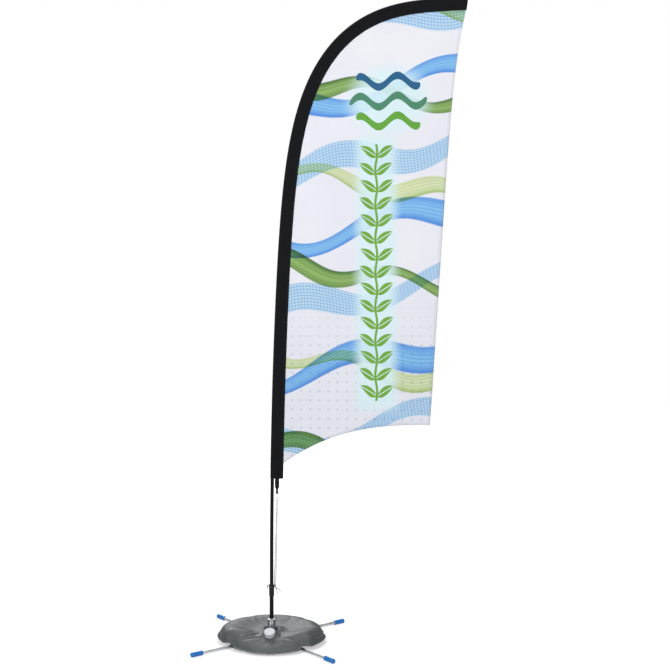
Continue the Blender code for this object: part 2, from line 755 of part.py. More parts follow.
def make_knot(mast):
    """The knot beside the right hook, with the cord's two loose ends."""
    shape = bmesh.new()
    place = Matrix.Translation(KNOT)
    bmesh.ops.create_uvsphere(shape, u_segments=12, v_segments=8, radius=KNOT_RADIUS, matrix=place)
    knot = add_object("cord_knot", shape, "cord", mast)
    tails = (
        ((22, -8.2, 228.5), (30, -9.2, 225), (36.5, -9.6, 220), (40.5, -9.6, 214)),
        ((20.8, -8.4, 227.5), (24, -9.8, 220), (25.6, -10.2, 212), (26, -10, 204)),
    )
    for number, tail in enumerate(tails, 1):
        shape = swept([Vector(p) * MM for p in tail], [CORD_RADIUS] * 4, 8)
        combine(knot, add_object(f"cord_tail_{number}", shape, "cord", mast), "UNION")


# ---------------------------------------------------------------- water bag


def bag_top(share, angle):
    """Height of the bag's top: full all round, but sloping down to the floor at the front."""
    pillow = (1 - abs(2 * share - 1) ** 3) ** 0.6
    seam = 0.036 + (0.024 - 0.036) * share
    full = seam + (BAG_TOP - seam) * pillow
    sloped = 0.010 + 0.056 * (1 - share) ** 1.15 * min(1.0, 0.62 + 3.2 * share)
    front = smooth_step((-sin(angle) - 0.45) / 0.45)
    return full + (sloped - full) * front


def bag_bottom(share, angle):
    """Height of the bag's underside: over the legs' sweep at the sides, near the floor in front and behind."""
    radius = BAG_HOLE + (BAG_RADIUS - BAG_HOLE) * share
    x = radius * cos(angle)
    y = radius * sin(angle)
    beside_leg = (abs(y) - abs(x)) / sqrt(2)
    dip = smooth_step((beside_leg - 0.011) / 0.035) * smooth_step((radius - 0.048) / 0.04)
    hub = 5.2 * MM * smooth_step((0.075 - radius) / 0.025)
    return LEG_CLEARANCE + hub - 15.6 * MM * dip


def make_bag():
    lift = frame_empty("bag_axis", (0, 0, 0))
    shares = [0, 0.06, 0.2, 0.4, 0.6, 0.8, 0.94, 1]
    rings = []
    for i in range(48):
        angle = 2 * pi * i / 48
        ring = []
        ring += [(share, bag_top(share, angle)) for share in shares]
        for share in reversed(shares):
            edge = 5 * MM if share in (0, 1) else 0
            low = bag_bottom(share, angle)
            ring.append((share, max(low, min(low + edge, bag_top(share, angle) - 3 * MM))))
        radii = [BAG_HOLE + (BAG_RADIUS - BAG_HOLE) * share for share, _ in ring]
        rings.append([(r * cos(angle), r * sin(angle), z) for r, (_, z) in zip(radii, ring)])
    bag = add_object("water_bag", skin(rings, end_to_end=True), "bag_pvc", lift)
    valve = frame_empty("valve_axis", VALVE_SEAT, (VALVE_TILT, 0, 0), lift)
    seat = cylinder_shape(NECK_RADIUS + 3 * MM + GAP, -6 * MM, 40 * MM, 24)
    combine(bag, add_object("valve_seat", seat, "bag_pvc", valve), "DIFFERENCE")
    make_valve(valve)


def make_valve(valve):
    """The filler neck with its flange, the seal in the cap and the screw cap."""
    flange = NECK_RADIUS + 3 * MM
    bore = NECK_RADIUS - 5 * MM
    neck_top = 15 * MM
    low = -5.7 * MM
    ledge = 3 * MM
    neck = [(flange, low), (flange, ledge), (NECK_RADIUS, ledge)]
    neck += [(NECK_RADIUS, neck_top), (bore, neck_top), (bore, low)]
    add_object("valve_base", turned(neck, 24, hollow=True), "white_plastic", valve)
    seal = tube_between(neck_top + GAP, neck_top + 1.9 * MM, NECK_RADIUS - GAP, bore + MM)
    add_object("cap_seal", seal, "rubber", valve)
    ceiling = neck_top + 1.9 * MM + GAP
    cap_bore = NECK_RADIUS + 0.4 * MM
    skirt = 7.5 * MM
    top = ceiling + 2.3 * MM
    cap = [
        (cap_bore, ceiling),
        (cap_bore, skirt),
        (CAP_RADIUS, skirt),
        (CAP_RADIUS, top - 1.2 * MM),
        (CAP_RADIUS - 1.2 * MM, top),
    ]
    add_object("valve_cap", turned(cap, 24), "white_plastic", valve)


def main():
    start_empty()
    make_centre()
    make_plate("lower_plate", PLATE_LOW)
    make_plate("upper_plate", PLATE_HIGH)
    for number, angle in enumerate(LEG_ANGLES, 1):
        make_leg(number, angle)
    make_housing()
    spin = frame_empty("spin_axis", (0, 0, 0))
    make_bearing("lower", LOWER_RACE, spin)
    make_bearing("upper", UPPER_RACE, spin)
    make_spindle(spin)
    mast = frame_empty("mast_axis", (0, 0, 0), parent=spin)
    make_pole(mast)
    make_collar(mast)
    make_sleeve(mast)
    make_panel(mast)
    make_strap(mast)
    make_ring(mast)
    make_cord(mast)
    make_knot(mast)
    make_bag()


main()
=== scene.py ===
# A feather flag: banner and sleeve on a bent pole, over a folding cross base with a water bag.
import json

import bmesh
import bpy
import numpy as np
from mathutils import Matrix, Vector

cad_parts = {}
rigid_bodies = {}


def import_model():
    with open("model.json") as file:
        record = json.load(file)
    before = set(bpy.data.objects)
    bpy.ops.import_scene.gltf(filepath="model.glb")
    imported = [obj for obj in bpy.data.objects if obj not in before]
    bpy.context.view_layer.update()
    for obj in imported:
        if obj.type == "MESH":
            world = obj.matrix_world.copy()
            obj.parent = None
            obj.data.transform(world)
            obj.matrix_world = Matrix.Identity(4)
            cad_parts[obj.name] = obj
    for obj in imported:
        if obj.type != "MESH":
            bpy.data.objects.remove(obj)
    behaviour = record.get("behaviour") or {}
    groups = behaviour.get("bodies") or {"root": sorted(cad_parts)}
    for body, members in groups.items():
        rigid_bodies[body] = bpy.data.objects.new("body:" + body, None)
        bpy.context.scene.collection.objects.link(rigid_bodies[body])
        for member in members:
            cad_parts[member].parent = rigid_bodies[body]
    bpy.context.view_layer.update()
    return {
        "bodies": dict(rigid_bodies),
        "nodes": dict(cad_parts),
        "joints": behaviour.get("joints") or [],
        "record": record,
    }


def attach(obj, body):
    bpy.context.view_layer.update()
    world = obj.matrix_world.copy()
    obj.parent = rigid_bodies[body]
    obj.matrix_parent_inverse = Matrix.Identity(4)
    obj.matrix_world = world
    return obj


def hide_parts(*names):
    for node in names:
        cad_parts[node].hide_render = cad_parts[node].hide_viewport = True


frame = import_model()
print("frame loaded")

mm = 0.001
turn = 2 * np.pi


def smoothStep(value, low=0.0, high=1.0):  # 0 below low, 1 above high, and an even S between
    share = np.clip((np.asarray(value, float) - low) / (high - low), 0, 1)
    return share * share * (3 - 2 * share)


def unit(vectors):  # each vector over its own length
    return vectors / np.maximum(np.linalg.norm(vectors, axis=-1, keepdims=True), 1e-12)


def gridFaces(rows, columns, wrapRows, wrapColumns):  # one four-sided face for each cell of the grid
    row, column = np.meshgrid(
        np.arange(rows - (not wrapRows)), np.arange(columns - (not wrapColumns)), indexing="ij"
    )
    nextRow, nextColumn = (row + 1) % rows, (column + 1) % columns
    corners = (
        row * columns + column,
        row * columns + nextColumn,
        nextRow * columns + nextColumn,
        nextRow * columns + column,
    )
    return np.stack(corners, axis=-1).reshape(-1, 4), row.ravel(), column.ravel()


def addAttribute(mesh, name, values):  # one number or one vector for each point
    kind, field = ("FLOAT", "value") if values.ndim == 1 else ("FLOAT_VECTOR", "vector")
    mesh.attributes.new(name, kind, "POINT").data.foreach_set(
        field, np.ascontiguousarray(values, np.float32).ravel()
    )


def gridPiece(name, grid, material=None, wrapRows=False, wrapColumns=False, caps=False, flow=None, sharp=40):
    # A surface through grid[row, column]. flow gives each row's and column's distance, for the UV map "flow".
    rows, columns = grid.shape[:2]
    faces, row, column = gridFaces(rows, columns, wrapRows, wrapColumns)
    faceList = faces.tolist()
    if caps:
        faceList += [list(range(columns))[::-1], [(rows - 1) * columns + c for c in range(columns)]]
    mesh = bpy.data.meshes.new(name)
    mesh.from_pydata(grid.reshape(-1, 3).tolist(), [], faceList)
    if flow is None:
        flow = (np.linspace(0, 1, rows + 1), np.linspace(0, 1, columns + 1))
    along, across = (np.append(part, part[-1]) for part in flow)
    uv = np.zeros((len(mesh.loops), 2))
    cells = len(faces)
    uv[: cells * 4, 0] = np.stack(
        [across[column], across[column + 1], across[column + 1], across[column]], axis=-1
    ).ravel()
    uv[: cells * 4, 1] = np.stack([along[row], along[row], along[row + 1], along[row + 1]], axis=-1).ravel()
    mesh.uv_layers.new(name="flow").data.foreach_set("uv", uv.ravel())
    return finishMesh(name, mesh, material, sharp, recalculate=caps or (wrapRows and wrapColumns))


def finishMesh(name, mesh, material, sharp=40, recalculate=True):
    if recalculate:  # faces of a closed surface point outwards
        shape = bmesh.new()
        shape.from_mesh(mesh)
        bmesh.ops.recalc_face_normals(shape, faces=shape.faces)
        shape.to_mesh(mesh)
        shape.free()
    mesh.shade_smooth()
    mesh.set_sharp_from_angle(angle=np.radians(sharp))
    piece = bpy.data.objects.new(name, mesh)
    bpy.context.scene.collection.objects.link(piece)
    if material:
        mesh.materials.append(material)
    return piece


def joined(name, pieces):  # several finished pieces made one
    whole = pieces[0]
    with bpy.context.temp_override(active_object=whole, selected_editable_objects=pieces):
        bpy.ops.object.join()
    whole.name = name
    whole.data.name = name
    return whole


def pathLength(path):  # the distance walked at each point of a path
    return np.concatenate([[0], np.cumsum(np.linalg.norm(np.diff(path, axis=0), axis=1))])


def smoothPath(points, spacing):
    # Catmull-Rom: each stretch is a cubic whose slope at a point is half the step between its neighbours.
    points = np.asarray(points, float)
    ends = np.vstack([2 * points[0] - points[1], points, 2 * points[-1] - points[-2]])
    pieces = []
    for before, start, end, after in zip(ends, ends[1:], ends[2:], ends[3:]):
        count = max(2, int(np.linalg.norm(end - start) / spacing) + 1)
        t = np.linspace(0, 1, count, endpoint=False)[:, None]
        cubic = 2 * start + (end - before) * t + (2 * before - 5 * start + 4 * end - after) * t**2
        pieces.append((cubic + (3 * start - before - 3 * end + after) * t**3) / 2)
    return np.vstack(pieces + [points[-1:]])


def evenPath(path, spacing):  # the same path with its points evenly spaced
    walked = pathLength(path)
    places = np.linspace(0, walked[-1], max(3, int(walked[-1] / spacing) + 1))
    return np.stack([np.interp(places, walked, path[:, axis]) for axis in range(3)], axis=-1)


# at each point, two directions across the path, the first square to reference
def pathFrames(path, reference):
    along = unit(np.gradient(path, axis=0))
    side = unit(np.cross(along, np.asarray(reference, float)))
    return side, np.cross(along, side)


def alongPath(path, radius, count, reference=(1, 0, 0), lobes=0, lobeDepth=0.0, lobePitch=1.0):
    # A round section carried along a path. Lobes make it a twisted one: radius * (1 + depth * cos(lobes *
    # (angle - twist))).
    side, up = pathFrames(path, reference)
    angle = np.linspace(0, turn, count, endpoint=False)
    walked = pathLength(path)[:, None]
    reach = np.broadcast_to(np.asarray(radius, float).reshape(-1, 1), (len(path), 1))
    if lobes:
        reach = reach * (1 + lobeDepth * np.cos(lobes * (angle - turn * walked / lobePitch)))
    ring = reach[..., None] * (
        np.cos(angle)[None, :, None] * side[:, None] + np.sin(angle)[None, :, None] * up[:, None]
    )
    return path[:, None] + ring


def roundedCorners(profile, radius, steps=4):
    # Each inner corner becomes a short curve from a point before it to a point after it.
    profile = np.asarray(profile, float)
    made = [profile[:1]]
    t = np.linspace(0, 1, steps + 1)[:, None]
    for before, corner, after in zip(profile, profile[1:], profile[2:]):
        back, on = before - corner, after - corner
        reach = min(radius, 0.45 * np.linalg.norm(back), 0.45 * np.linalg.norm(on))
        start, end = corner + reach * unit(back), corner + reach * unit(on)
        made.append((1 - t) ** 2 * start + 2 * t * (1 - t) * corner + t**2 * end)
    return np.vstack(made + [profile[-1:]])


def turnedGrid(profile, count):  # (radius, height) carried round the Z axis
    profile = np.asarray(profile, float)
    angle = np.linspace(0, turn, count, endpoint=False)
    radius, height = profile[:, :1], profile[:, 1:2]
    return np.stack([radius * np.cos(angle), radius * np.sin(angle), height + 0 * angle], axis=-1)


def turnedPiece(name, profile, material, count=64, rounding=0.4 * mm, hollow=False, sharp=40, place=None):
    # A turned solid. A hollow one's profile is a closed outline, walked once round.
    if hollow:
        profile = np.vstack([np.mean([profile[0], profile[1]], axis=0), profile[1:], profile[:1]])
        profile = roundedCorners(np.vstack([profile, profile[:1]]), rounding)[:-1]
    else:
        profile = roundedCorners(profile, rounding)
    grid = turnedGrid(profile, count)
    if place is not None:
        grid = place(grid)
    flow = (np.append(pathLength(profile), 1), np.linspace(0, turn * profile[:, 0].max(), count + 1))
    return gridPiece(
        name, grid, material, wrapRows=hollow, wrapColumns=True, caps=not hollow, flow=flow, sharp=sharp
    )


def addModifier(piece, kind, **settings):
    modifier = piece.modifiers.new(kind.title(), kind)
    for key, value in settings.items():
        setattr(modifier, key, value)
    return modifier


# rides on a body and hides the nodes it replaces; its slot is not used
def standsFor(piece, body, slot, *nodes):
    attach(piece, body)
    if nodes:
        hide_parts(*nodes)
    return piece


def newMaterial(name, colour, roughness=0.5, metallic=0.0, **sockets):
    material = bpy.data.materials.new(name)
    material.use_nodes = True
    shader = material.node_tree.nodes["Principled BSDF"]
    values = {"Base Color": (*colour, 1), "Roughness": roughness, "Metallic": metallic, **sockets}
    for socket, value in values.items():
        shader.inputs[socket].default_value = value
    return material


def addNode(tree, kind, inputs=None, **settings):
    made = tree.nodes.new("ShaderNode" + kind)
    for key, value in settings.items():
        setattr(made, key, value)
    for key, value in (inputs or {}).items():
        if isinstance(value, bpy.types.NodeSocket):
            tree.links.new(value, made.inputs[key])
        else:
            made.inputs[key].default_value = value
    return made


def calc(tree, operation, *values, clamp=False):
    made = addNode(tree, "Math", dict(enumerate(values)), operation=operation, use_clamp=clamp)
    return made.outputs[0]


def ranged(tree, value, fromLow, fromHigh, toLow=0.0, toHigh=1.0, smooth=False):
    kind = "SMOOTHSTEP" if smooth else "LINEAR"
    inputs = {"Value": value, "From Min": fromLow, "From Max": fromHigh, "To Min": toLow, "To Max": toHigh}
    return addNode(tree, "MapRange", inputs, interpolation_type=kind).outputs[0]


def mixed(tree, factor, first, second, blend="MIX"):
    inputs = {0: factor, 6: first, 7: second}
    for key in (6, 7):
        if isinstance(inputs[key], tuple) and len(inputs[key]) == 3:
            inputs[key] = (*inputs[key], 1)
    return addNode(tree, "Mix", inputs, data_type="RGBA", blend_type=blend).outputs[2]


def objectPlace(tree, scale=(1, 1, 1), kind="Object"):
    source = addNode(tree, "TexCoord").outputs[kind]
    return addNode(tree, "Mapping", {"Vector": source, "Scale": scale}).outputs[0]


def noise(tree, vector, scale, detail=3.0, roughness=0.5):
    return addNode(
        tree, "TexNoise", {"Vector": vector, "Scale": scale, "Detail": detail, "Roughness": roughness}
    ).outputs[0]


def finishShader(material, colour=None, roughness=None, height=None, strength=0.3, distance=0.001):
    tree = material.node_tree
    shader = tree.nodes["Principled BSDF"]
    if colour is not None:
        tree.links.new(colour, shader.inputs["Base Color"])
    if roughness is not None:
        tree.links.new(roughness, shader.inputs["Roughness"])
    if height is not None:
        bump = addNode(tree, "Bump", {"Height": height, "Strength": strength, "Distance": distance})
        tree.links.new(bump.outputs[0], shader.inputs["Normal"])
    return material


def plasticMaterial(name, colour, roughness=0.4, grain=900.0, wear=0.12):
    # Moulded plastic: slight cloudiness in colour and gloss, and a fine spark-eroded grain.
    material = newMaterial(name, colour, roughness)
    tree = material.node_tree
    place = objectPlace(tree)
    cloud = noise(tree, place, 30)
    tint = mixed(
        tree, cloud, tuple(c * (1 - wear) for c in colour), tuple(min(c * (1 + wear), 1) for c in colour)
    )
    gloss = ranged(tree, noise(tree, place, 120), 0.3, 0.7, roughness - 0.06, roughness + 0.08)
    return finishShader(material, tint, gloss, noise(tree, place, grain), 0.06, 0.0004)


def metalMaterial(name, colour, roughness=0.25, brushed=(1, 1, 1), scale=600.0, depth=0.05):
    # Bright metal: fine lines drawn along one axis, and faint smears in its gloss.
    material = newMaterial(name, colour, roughness, 1.0)
    tree = material.node_tree
    lines = noise(tree, objectPlace(tree, brushed), scale, 4)
    smear = noise(tree, objectPlace(tree), 25)
    gloss = ranged(tree, smear, 0.3, 0.7, roughness * 0.8, roughness * 1.3)
    tint = mixed(tree, smear, tuple(c * 0.94 for c in colour), colour)
    return finishShader(material, tint, gloss, lines, depth, 0.0003)


def wovenMaterial(name, colour, pitch=1.1 * mm, roughness=0.85, light=1.5, strength=0.5):
    # Plain weave on the piece's own flow map: warp and weft take turns on top.
    material = newMaterial(name, colour, roughness)
    tree = material.node_tree
    shader = tree.nodes["Principled BSDF"]
    shader.inputs["Sheen Weight"].default_value = 0.04
    shader.inputs["Specular IOR Level"].default_value = 0.22
    shader.inputs["Sheen Roughness"].default_value = 0.5
    flow = addNode(tree, "UVMap", uv_map="flow").outputs[0]
    split = addNode(tree, "SeparateXYZ", {0: flow})
    waves = [
        calc(tree, "SINE", calc(tree, "MULTIPLY", split.outputs[axis], turn / pitch / 2)) for axis in (0, 1)
    ]
    over = calc(tree, "MULTIPLY", waves[0], waves[1])
    height = ranged(tree, over, -1, 1)
    patch = noise(tree, objectPlace(tree), 18)
    # painted shade and highlight: the colour is darker in the weave's dips and lighter on the threads on top,
    # mixed with random patches
    shade = calc(tree, "MULTIPLY_ADD", height, 0.5, calc(tree, "MULTIPLY", patch, 0.5))
    tint = mixed(tree, shade, tuple(c * 0.7 for c in colour), tuple(min(c * light, 1) for c in colour))
    return finishShader(material, tint, None, height, strength, pitch / 4)


studio = {
    "cameraPlace": (0.6023, -4.3969, 1.335),
    "cameraHeading": 7.8,  # degrees to the left of +Y
    "lens": 54.34,  # millimetres, on a 36 mm sensor
    "shift": 0.0946,
    "background": 1.0,
    "surround": 0.16,  # light from all round, as the object sees it
    "floorSize": 30,
    # place, aim, width, height, power
    "softboxes": [
        ((-2.6, -4.6, 3.6), (0.3, 0, 1.4), 2.6, 3.2, 190),
        ((3.6, -3.6, 2.6), (0.3, 0, 1.3), 1.6, 2.8, 66),
        ((0.2, 0.6, 4.6), (0.1, 0, 0.3), 2.4, 2.4, 62),
        ((-1.5, 4.8, 3.0), (0.3, 0, 1.4), 2.4, 3.0, 80),
    ],
}


def makeCamera():
    lens = bpy.data.cameras.new("camera")
    lens.lens, lens.sensor_width, lens.shift_x = studio["lens"], 36, studio["shift"]
    camera = bpy.data.objects.new("camera", lens)
    camera.location = studio["cameraPlace"]
    camera.rotation_euler = (np.radians(90), 0, np.radians(studio["cameraHeading"]))
    bpy.context.scene.collection.objects.link(camera)
    bpy.context.scene.camera = camera


def makeSoftbox(index, place, aim, width, height, power):
    light = bpy.data.lights.new(f"softbox{index}", "AREA")
    light.shape, light.size, light.size_y, light.energy = "RECTANGLE", width, height, power
    lamp = bpy.data.objects.new(f"softbox{index}", light)
    lamp.location = place
    direction = Vector(aim) - Vector(place)
    lamp.rotation_euler = direction.to_track_quat("-Z", "Y").to_euler()
    bpy.context.scene.collection.objects.link(lamp)


def makeSurround():  # white behind the object, and an even grey for what lights it
    world = bpy.data.worlds.new("surround")
    bpy.context.scene.world = world
    world.use_nodes = True
    tree = world.node_tree
    seen = addNode(tree, "LightPath").outputs["Is Camera Ray"]
    strength = ranged(tree, seen, 0, 1, studio["surround"], studio["background"])
    tree.links.new(strength, tree.nodes["Background"].inputs["Strength"])
    tree.nodes["Background"].inputs["Color"].default_value = (1, 1, 1, 1)
    bpy.context.scene.view_settings.view_transform = "Standard"


def makeFloor():
    half = studio["floorSize"] / 2
    across = np.array([-half, half])
    grid = np.stack(np.broadcast_arrays(across[None, :], across[:, None], 0.0), axis=-1)
    material = newMaterial("floorPaint", (0.86, 0.86, 0.87), 0.9)
    tree = material.node_tree
    shader = tree.nodes["Principled BSDF"]
    shader.inputs["Emission Color"].default_value = (1, 1, 1, 1)
    seen = addNode(tree, "LightPath").outputs["Is Camera Ray"]
    away = addNode(
        tree, "VectorMath", {0: addNode(tree, "TexCoord").outputs["Object"]}, operation="LENGTH"
    ).outputs["Value"]
    glow = ranged(tree, away, 0.6, 4.0, 0.45, 1.0, smooth=True)  # evens out the floor far from the lights
    tree.links.new(calc(tree, "MULTIPLY", seen, glow), shader.inputs["Emission Strength"])
    floor = gridPiece("floor", grid, material)


makeCamera()
for number, softbox in enumerate(studio["softboxes"], 1):
    makeSoftbox(number, *softbox)
makeSurround()
makeFloor()
print("camera, lights and floor made")


chromePlate = metalMaterial("chromePlate", (0.86, 0.87, 0.89), 0.07, depth=0.02)
drawnSteel = metalMaterial("drawnSteel", (0.88, 0.89, 0.91), 0.42, (1, 1, 0.05), 900)
zincPlate = metalMaterial("zincPlate", (0.62, 0.64, 0.67), 0.42, scale=250, depth=0.1)
rubberBlack = plasticMaterial("rubberBlack", (0.022, 0.022, 0.023), 0.8, 1400)
bluePlastic = plasticMaterial("bluePlastic", (0.010, 0.190, 0.60), 0.36)
blackPlastic = plasticMaterial("blackPlastic", (0.005, 0.005, 0.006), 0.48)
whitePlastic = plasticMaterial("whitePlastic", (0.80, 0.82, 0.86), 0.34, wear=0.03)
anodisedBlack = metalMaterial("anodisedBlack", (0.022, 0.022, 0.025), 0.32, (1, 1, 0.04), 900)
blackWeave = wovenMaterial("blackWeave", (0.0032, 0.0035, 0.0055))
blackWebbing = wovenMaterial("blackWebbing", (0.004, 0.004, 0.005), 2.4 * mm, strength=0.9)

slotFinishes = {
    "chrome": chromePlate,
    "steel": drawnSteel,
    "zinc": zincPlate,
    "rubber": rubberBlack,
    "blue_plastic": bluePlastic,
    "black_plastic": blackPlastic,
    "white_plastic": whitePlastic,
    "pole_black": anodisedBlack,
    "black_fabric": blackWeave,
}
for row in frame["record"]["subparts"]:
    finish = slotFinishes.get(row["material_slot"])
    node = frame["nodes"][row["node"]]
    if finish:
        for place in range(len(node.material_slots)):
            node.material_slots[place].material = finish
print("finishes made")


cordShape = {
    "radius": 1.7 * mm,
    "strandDepth": 0.07,
    "strands": 8,
    "strandPitch": 26 * mm,
    "twistLow": 0.575,
    "twistHigh": 0.620,
    "twistDegrees": 450,
    "strapX": 24 * mm,
    "lowBend": 0.6235,  # underside of the ring, inside
}


# One strand winding round the other as it rises, 2.0 to 3.4 mm from the strap's line.
def twistPath(side):
    share = np.linspace(0, 1, 25)
    angle = (0 if side > 0 else np.pi) - np.radians(cordShape["twistDegrees"]) * share
    reach = (2.0 + 1.4 * share**2) * mm
    height = cordShape["twistLow"] + (cordShape["twistHigh"] - cordShape["twistLow"]) * share
    return np.stack([cordShape["strapX"] + reach * np.cos(angle), reach * np.sin(angle), height], axis=-1)


def straightPath(start, end, count):
    return np.linspace(start, end, count + 1)[1:-1]


def cordPath():  # from the knot up through the ring, and back down behind the pole and under the hook
    knotSide = np.array([(19.4, -7.3, 233.8), (19.2, -6.9, 243)]) * mm
    hookSide = np.array([(11.6, 7.0, 245), (11.9, 6.3, 238.5), (12.8, 4.4, 233.9), (13.6, 2.3, 231.8)]) * mm
    hookEnd = np.array([(14.1, 0, 231.4), (14.5, -2.8, 231.2), (15.8, -5.4, 231.2)]) * mm
    loop = np.array([(-3.1, 1.7), (-1.7, 3.1), (0, 3.5), (1.7, 3.1), (3.1, 1.7)]) * mm
    across, height = loop.T
    over = np.stack([0 * across + cordShape["strapX"], across, cordShape["lowBend"] + height], axis=-1)
    rising, falling = twistPath(1), twistPath(-1)[::-1]
    points = [knotSide, straightPath(knotSide[-1], rising[0], 26), rising, over, falling]
    points += [straightPath(falling[-1], hookSide[0], 26), hookSide, hookEnd]
    return evenPath(smoothPath(np.vstack(points), 1 * mm), 1.2 * mm)


def cordMaterial():
    # Braid: two sets of strands cross on the piece's flow map, in painted shade: dark in the grooves between
    # them, light on their crests.
    material = newMaterial("braidedCord", (0.5, 0.5, 0.52), 0.75)
    tree = material.node_tree
    tree.nodes["Principled BSDF"].inputs["Sheen Weight"].default_value = 0.3
    split = addNode(tree, "SeparateXYZ", {0: addNode(tree, "UVMap", uv_map="flow").outputs[0]})
    around, along = split.outputs[0], calc(tree, "MULTIPLY", split.outputs[1], turn / (6 * mm))
    spin = calc(tree, "MULTIPLY", around, turn * 4)
    left = calc(tree, "SINE", calc(tree, "ADD", spin, along))
    right = calc(tree, "SINE", calc(tree, "SUBTRACT", spin, along))
    height = ranged(tree, calc(tree, "MAXIMUM", left, right), -0.4, 1)
    fleck = ranged(tree, noise(tree, objectPlace(tree), 260), 0.58, 0.62)
    # painted shade: darker where both strands dip, lighter on their crests
    tint = mixed(tree, height, (0.22, 0.22, 0.235), (0.74, 0.74, 0.76))
    tint = mixed(tree, calc(tree, "MULTIPLY", fleck, 0.5), tint, (0.12, 0.12, 0.13))
    return finishShader(material, tint, None, height, 0.6, 0.0004)


def ropeFlow(path, columns):
    return pathLength(path), np.linspace(0, 1, columns + 1)


def makeCord():
    path = cordPath()
    radius = cordShape["radius"]
    grid = alongPath(
        path, radius, 16, (1, 0, 0), cordShape["strands"], cordShape["strandDepth"], cordShape["strandPitch"]
    )
    cord = gridPiece("tensionCord", grid, braid, wrapColumns=True, caps=True, flow=ropeFlow(path, 16))
    standsFor(cord, "mast", "cord", "tension_cord")
    return cord, path


# a radius at each point of a path, dropping to nothing at both ends
def roundedEnds(radius, count, fraction=6):
    place = np.arange(count)
    near = np.minimum(place, place[::-1]) / fraction
    return radius * np.sqrt(np.clip(1 - (1 - np.clip(near, 0, 1)) ** 2, 0.02, 1))


knotShape = {
    "centre": (19.8 * mm, -7.6 * mm, 229.5 * mm),
    "reach": 2.5 * mm,
    "ropeRadius": 1.6 * mm,
    "longTail": [(21, -8.0, 229), (25, -8.7, 227.6), (30, -9.2, 225), (36.5, -9.6, 220), (40.5, -9.6, 214)],
    "shortTail": [
        (20.4, -8.2, 228.6), (22.6, -9.2, 224), (24.6, -9.9, 218), (25.6, -10.2, 212), (26, -10, 204.5)
    ],
    "frayLength": 4.5 * mm,
    "fibres": 7,
}


def makeKnot():
    # The knot is the closed curve x = sin t + 2 sin 2t, y = cos t - 2 cos 2t, z = -sin 3t, drawn small.
    t = np.linspace(0, turn, 120, endpoint=False)
    curve = np.stack(
        [np.sin(t) + 2 * np.sin(2 * t), -1.3 * np.sin(3 * t), np.cos(t) - 2 * np.cos(2 * t)], axis=-1
    )
    path = curve / 3 * knotShape["reach"] + knotShape["centre"]
    closedPath = np.vstack([path[-3:], path, path[:3]])
    grid = alongPath(closedPath, knotShape["ropeRadius"], 14, (0.3, 1, 0.2))[3:-3]
    flow = (np.append(pathLength(path), pathLength(path)[-1]), np.linspace(0, 1, 15))
    parts = [gridPiece("knotLoop", grid, braid, wrapRows=True, wrapColumns=True, flow=flow)]
    for name in ("longTail", "shortTail"):
        tail = evenPath(smoothPath(np.array(knotShape[name]) * mm, 0.5 * mm), 0.5 * mm)
        radius = roundedEnds(cordShape["radius"], len(tail), 4)
        ropeGrid = alongPath(tail, radius, 14, (0, 1, 0), 8, 0.07, cordShape["strandPitch"])
        parts.append(gridPiece(name, ropeGrid, braid, wrapColumns=True, caps=True, flow=ropeFlow(tail, 14)))
        direction = unit(tail[-1] - tail[-6])
        for fibre in range(knotShape["fibres"]):  # loose fibres at the cut end, spread like a brush
            angle = fibre * 2.4
            spread = np.array([np.cos(angle), 0.6 * np.sin(angle), np.sin(angle)]) * (0.25 + 0.06 * fibre)
            share = np.linspace(0, 1, 7)[:, None]
            root = tail[-1] - direction * 1.5 * mm + 0.7 * mm * spread / np.linalg.norm(spread)
            strand = root + knotShape["frayLength"] * (share * direction + share**2 * spread)
            thin = 0.28 * mm * (1 - 0.6 * share[:, 0])
            parts.append(
                gridPiece(
                    f"fibre{fibre}",
                    alongPath(strand, thin, 6, (0, 1, 0.1)),
                    braid,
                    wrapColumns=True,
                    caps=True,
                )
            )
    return standsFor(joined("cordKnot", parts), "mast", "cord", "cord_knot")


braid = cordMaterial()
tensionCord, cordLine = makeCord()
cordKnot = makeKnot()


mastShape = {
    "bendStart": 0.300,
    "bendLength": 2.972,
    "lean": 6.2,  # degrees gained evenly from foot to tip
    "hook": 83.3,  # degrees gained in the hook
    "hookPower": 8.5,
    "hookSpread": 4.1,
    "poleRadius": 8 * mm,
    "poleBore": 6.6 * mm,
    "footRadius": 9 * mm,
    "footBore": 7.6 * mm,
    "footLow": 91.8 * mm,
    "footHigh": 200 * mm,
    "firstEnd": 0.560,
}
bendLength = mastShape["bendLength"]


def bendTable():
    # Angle from the vertical: an even lean and a hook, 1 - (1 - share^power)^spread. Places are its sum.
    share = np.linspace(0, 1, 2001)
    hook = 1 - (1 - share ** mastShape["hookPower"]) ** mastShape["hookSpread"]
    angle = np.radians(mastShape["lean"]) * share + np.radians(mastShape["hook"]) * hook
    step = bendLength / 2000
    across, up = (
        np.append(0, np.cumsum((part[1:] + part[:-1]) / 2 * step)) for part in (np.sin(angle), np.cos(angle))
    )
    return share * bendLength, across, mastShape["bendStart"] + up, angle


bend = bendTable()


def mastPlace(distance, offset=0.0, across=0.0, slant=0.0):
    # A place beside the mast: distance along it, offset towards the flag, across it, and slant along its
    # direction.
    distance, offset, across, slant = np.broadcast_arrays(distance, offset, across, slant)
    x, z, angle = (np.interp(distance, bend[0], column) for column in bend[1:])
    z = z + np.minimum(distance, 0)
    sine, cosine = np.sin(angle), np.cos(angle)
    return np.stack(
        [x + offset * cosine + slant * sine, across + 0 * x, z - offset * sine + slant * cosine], axis=-1
    )


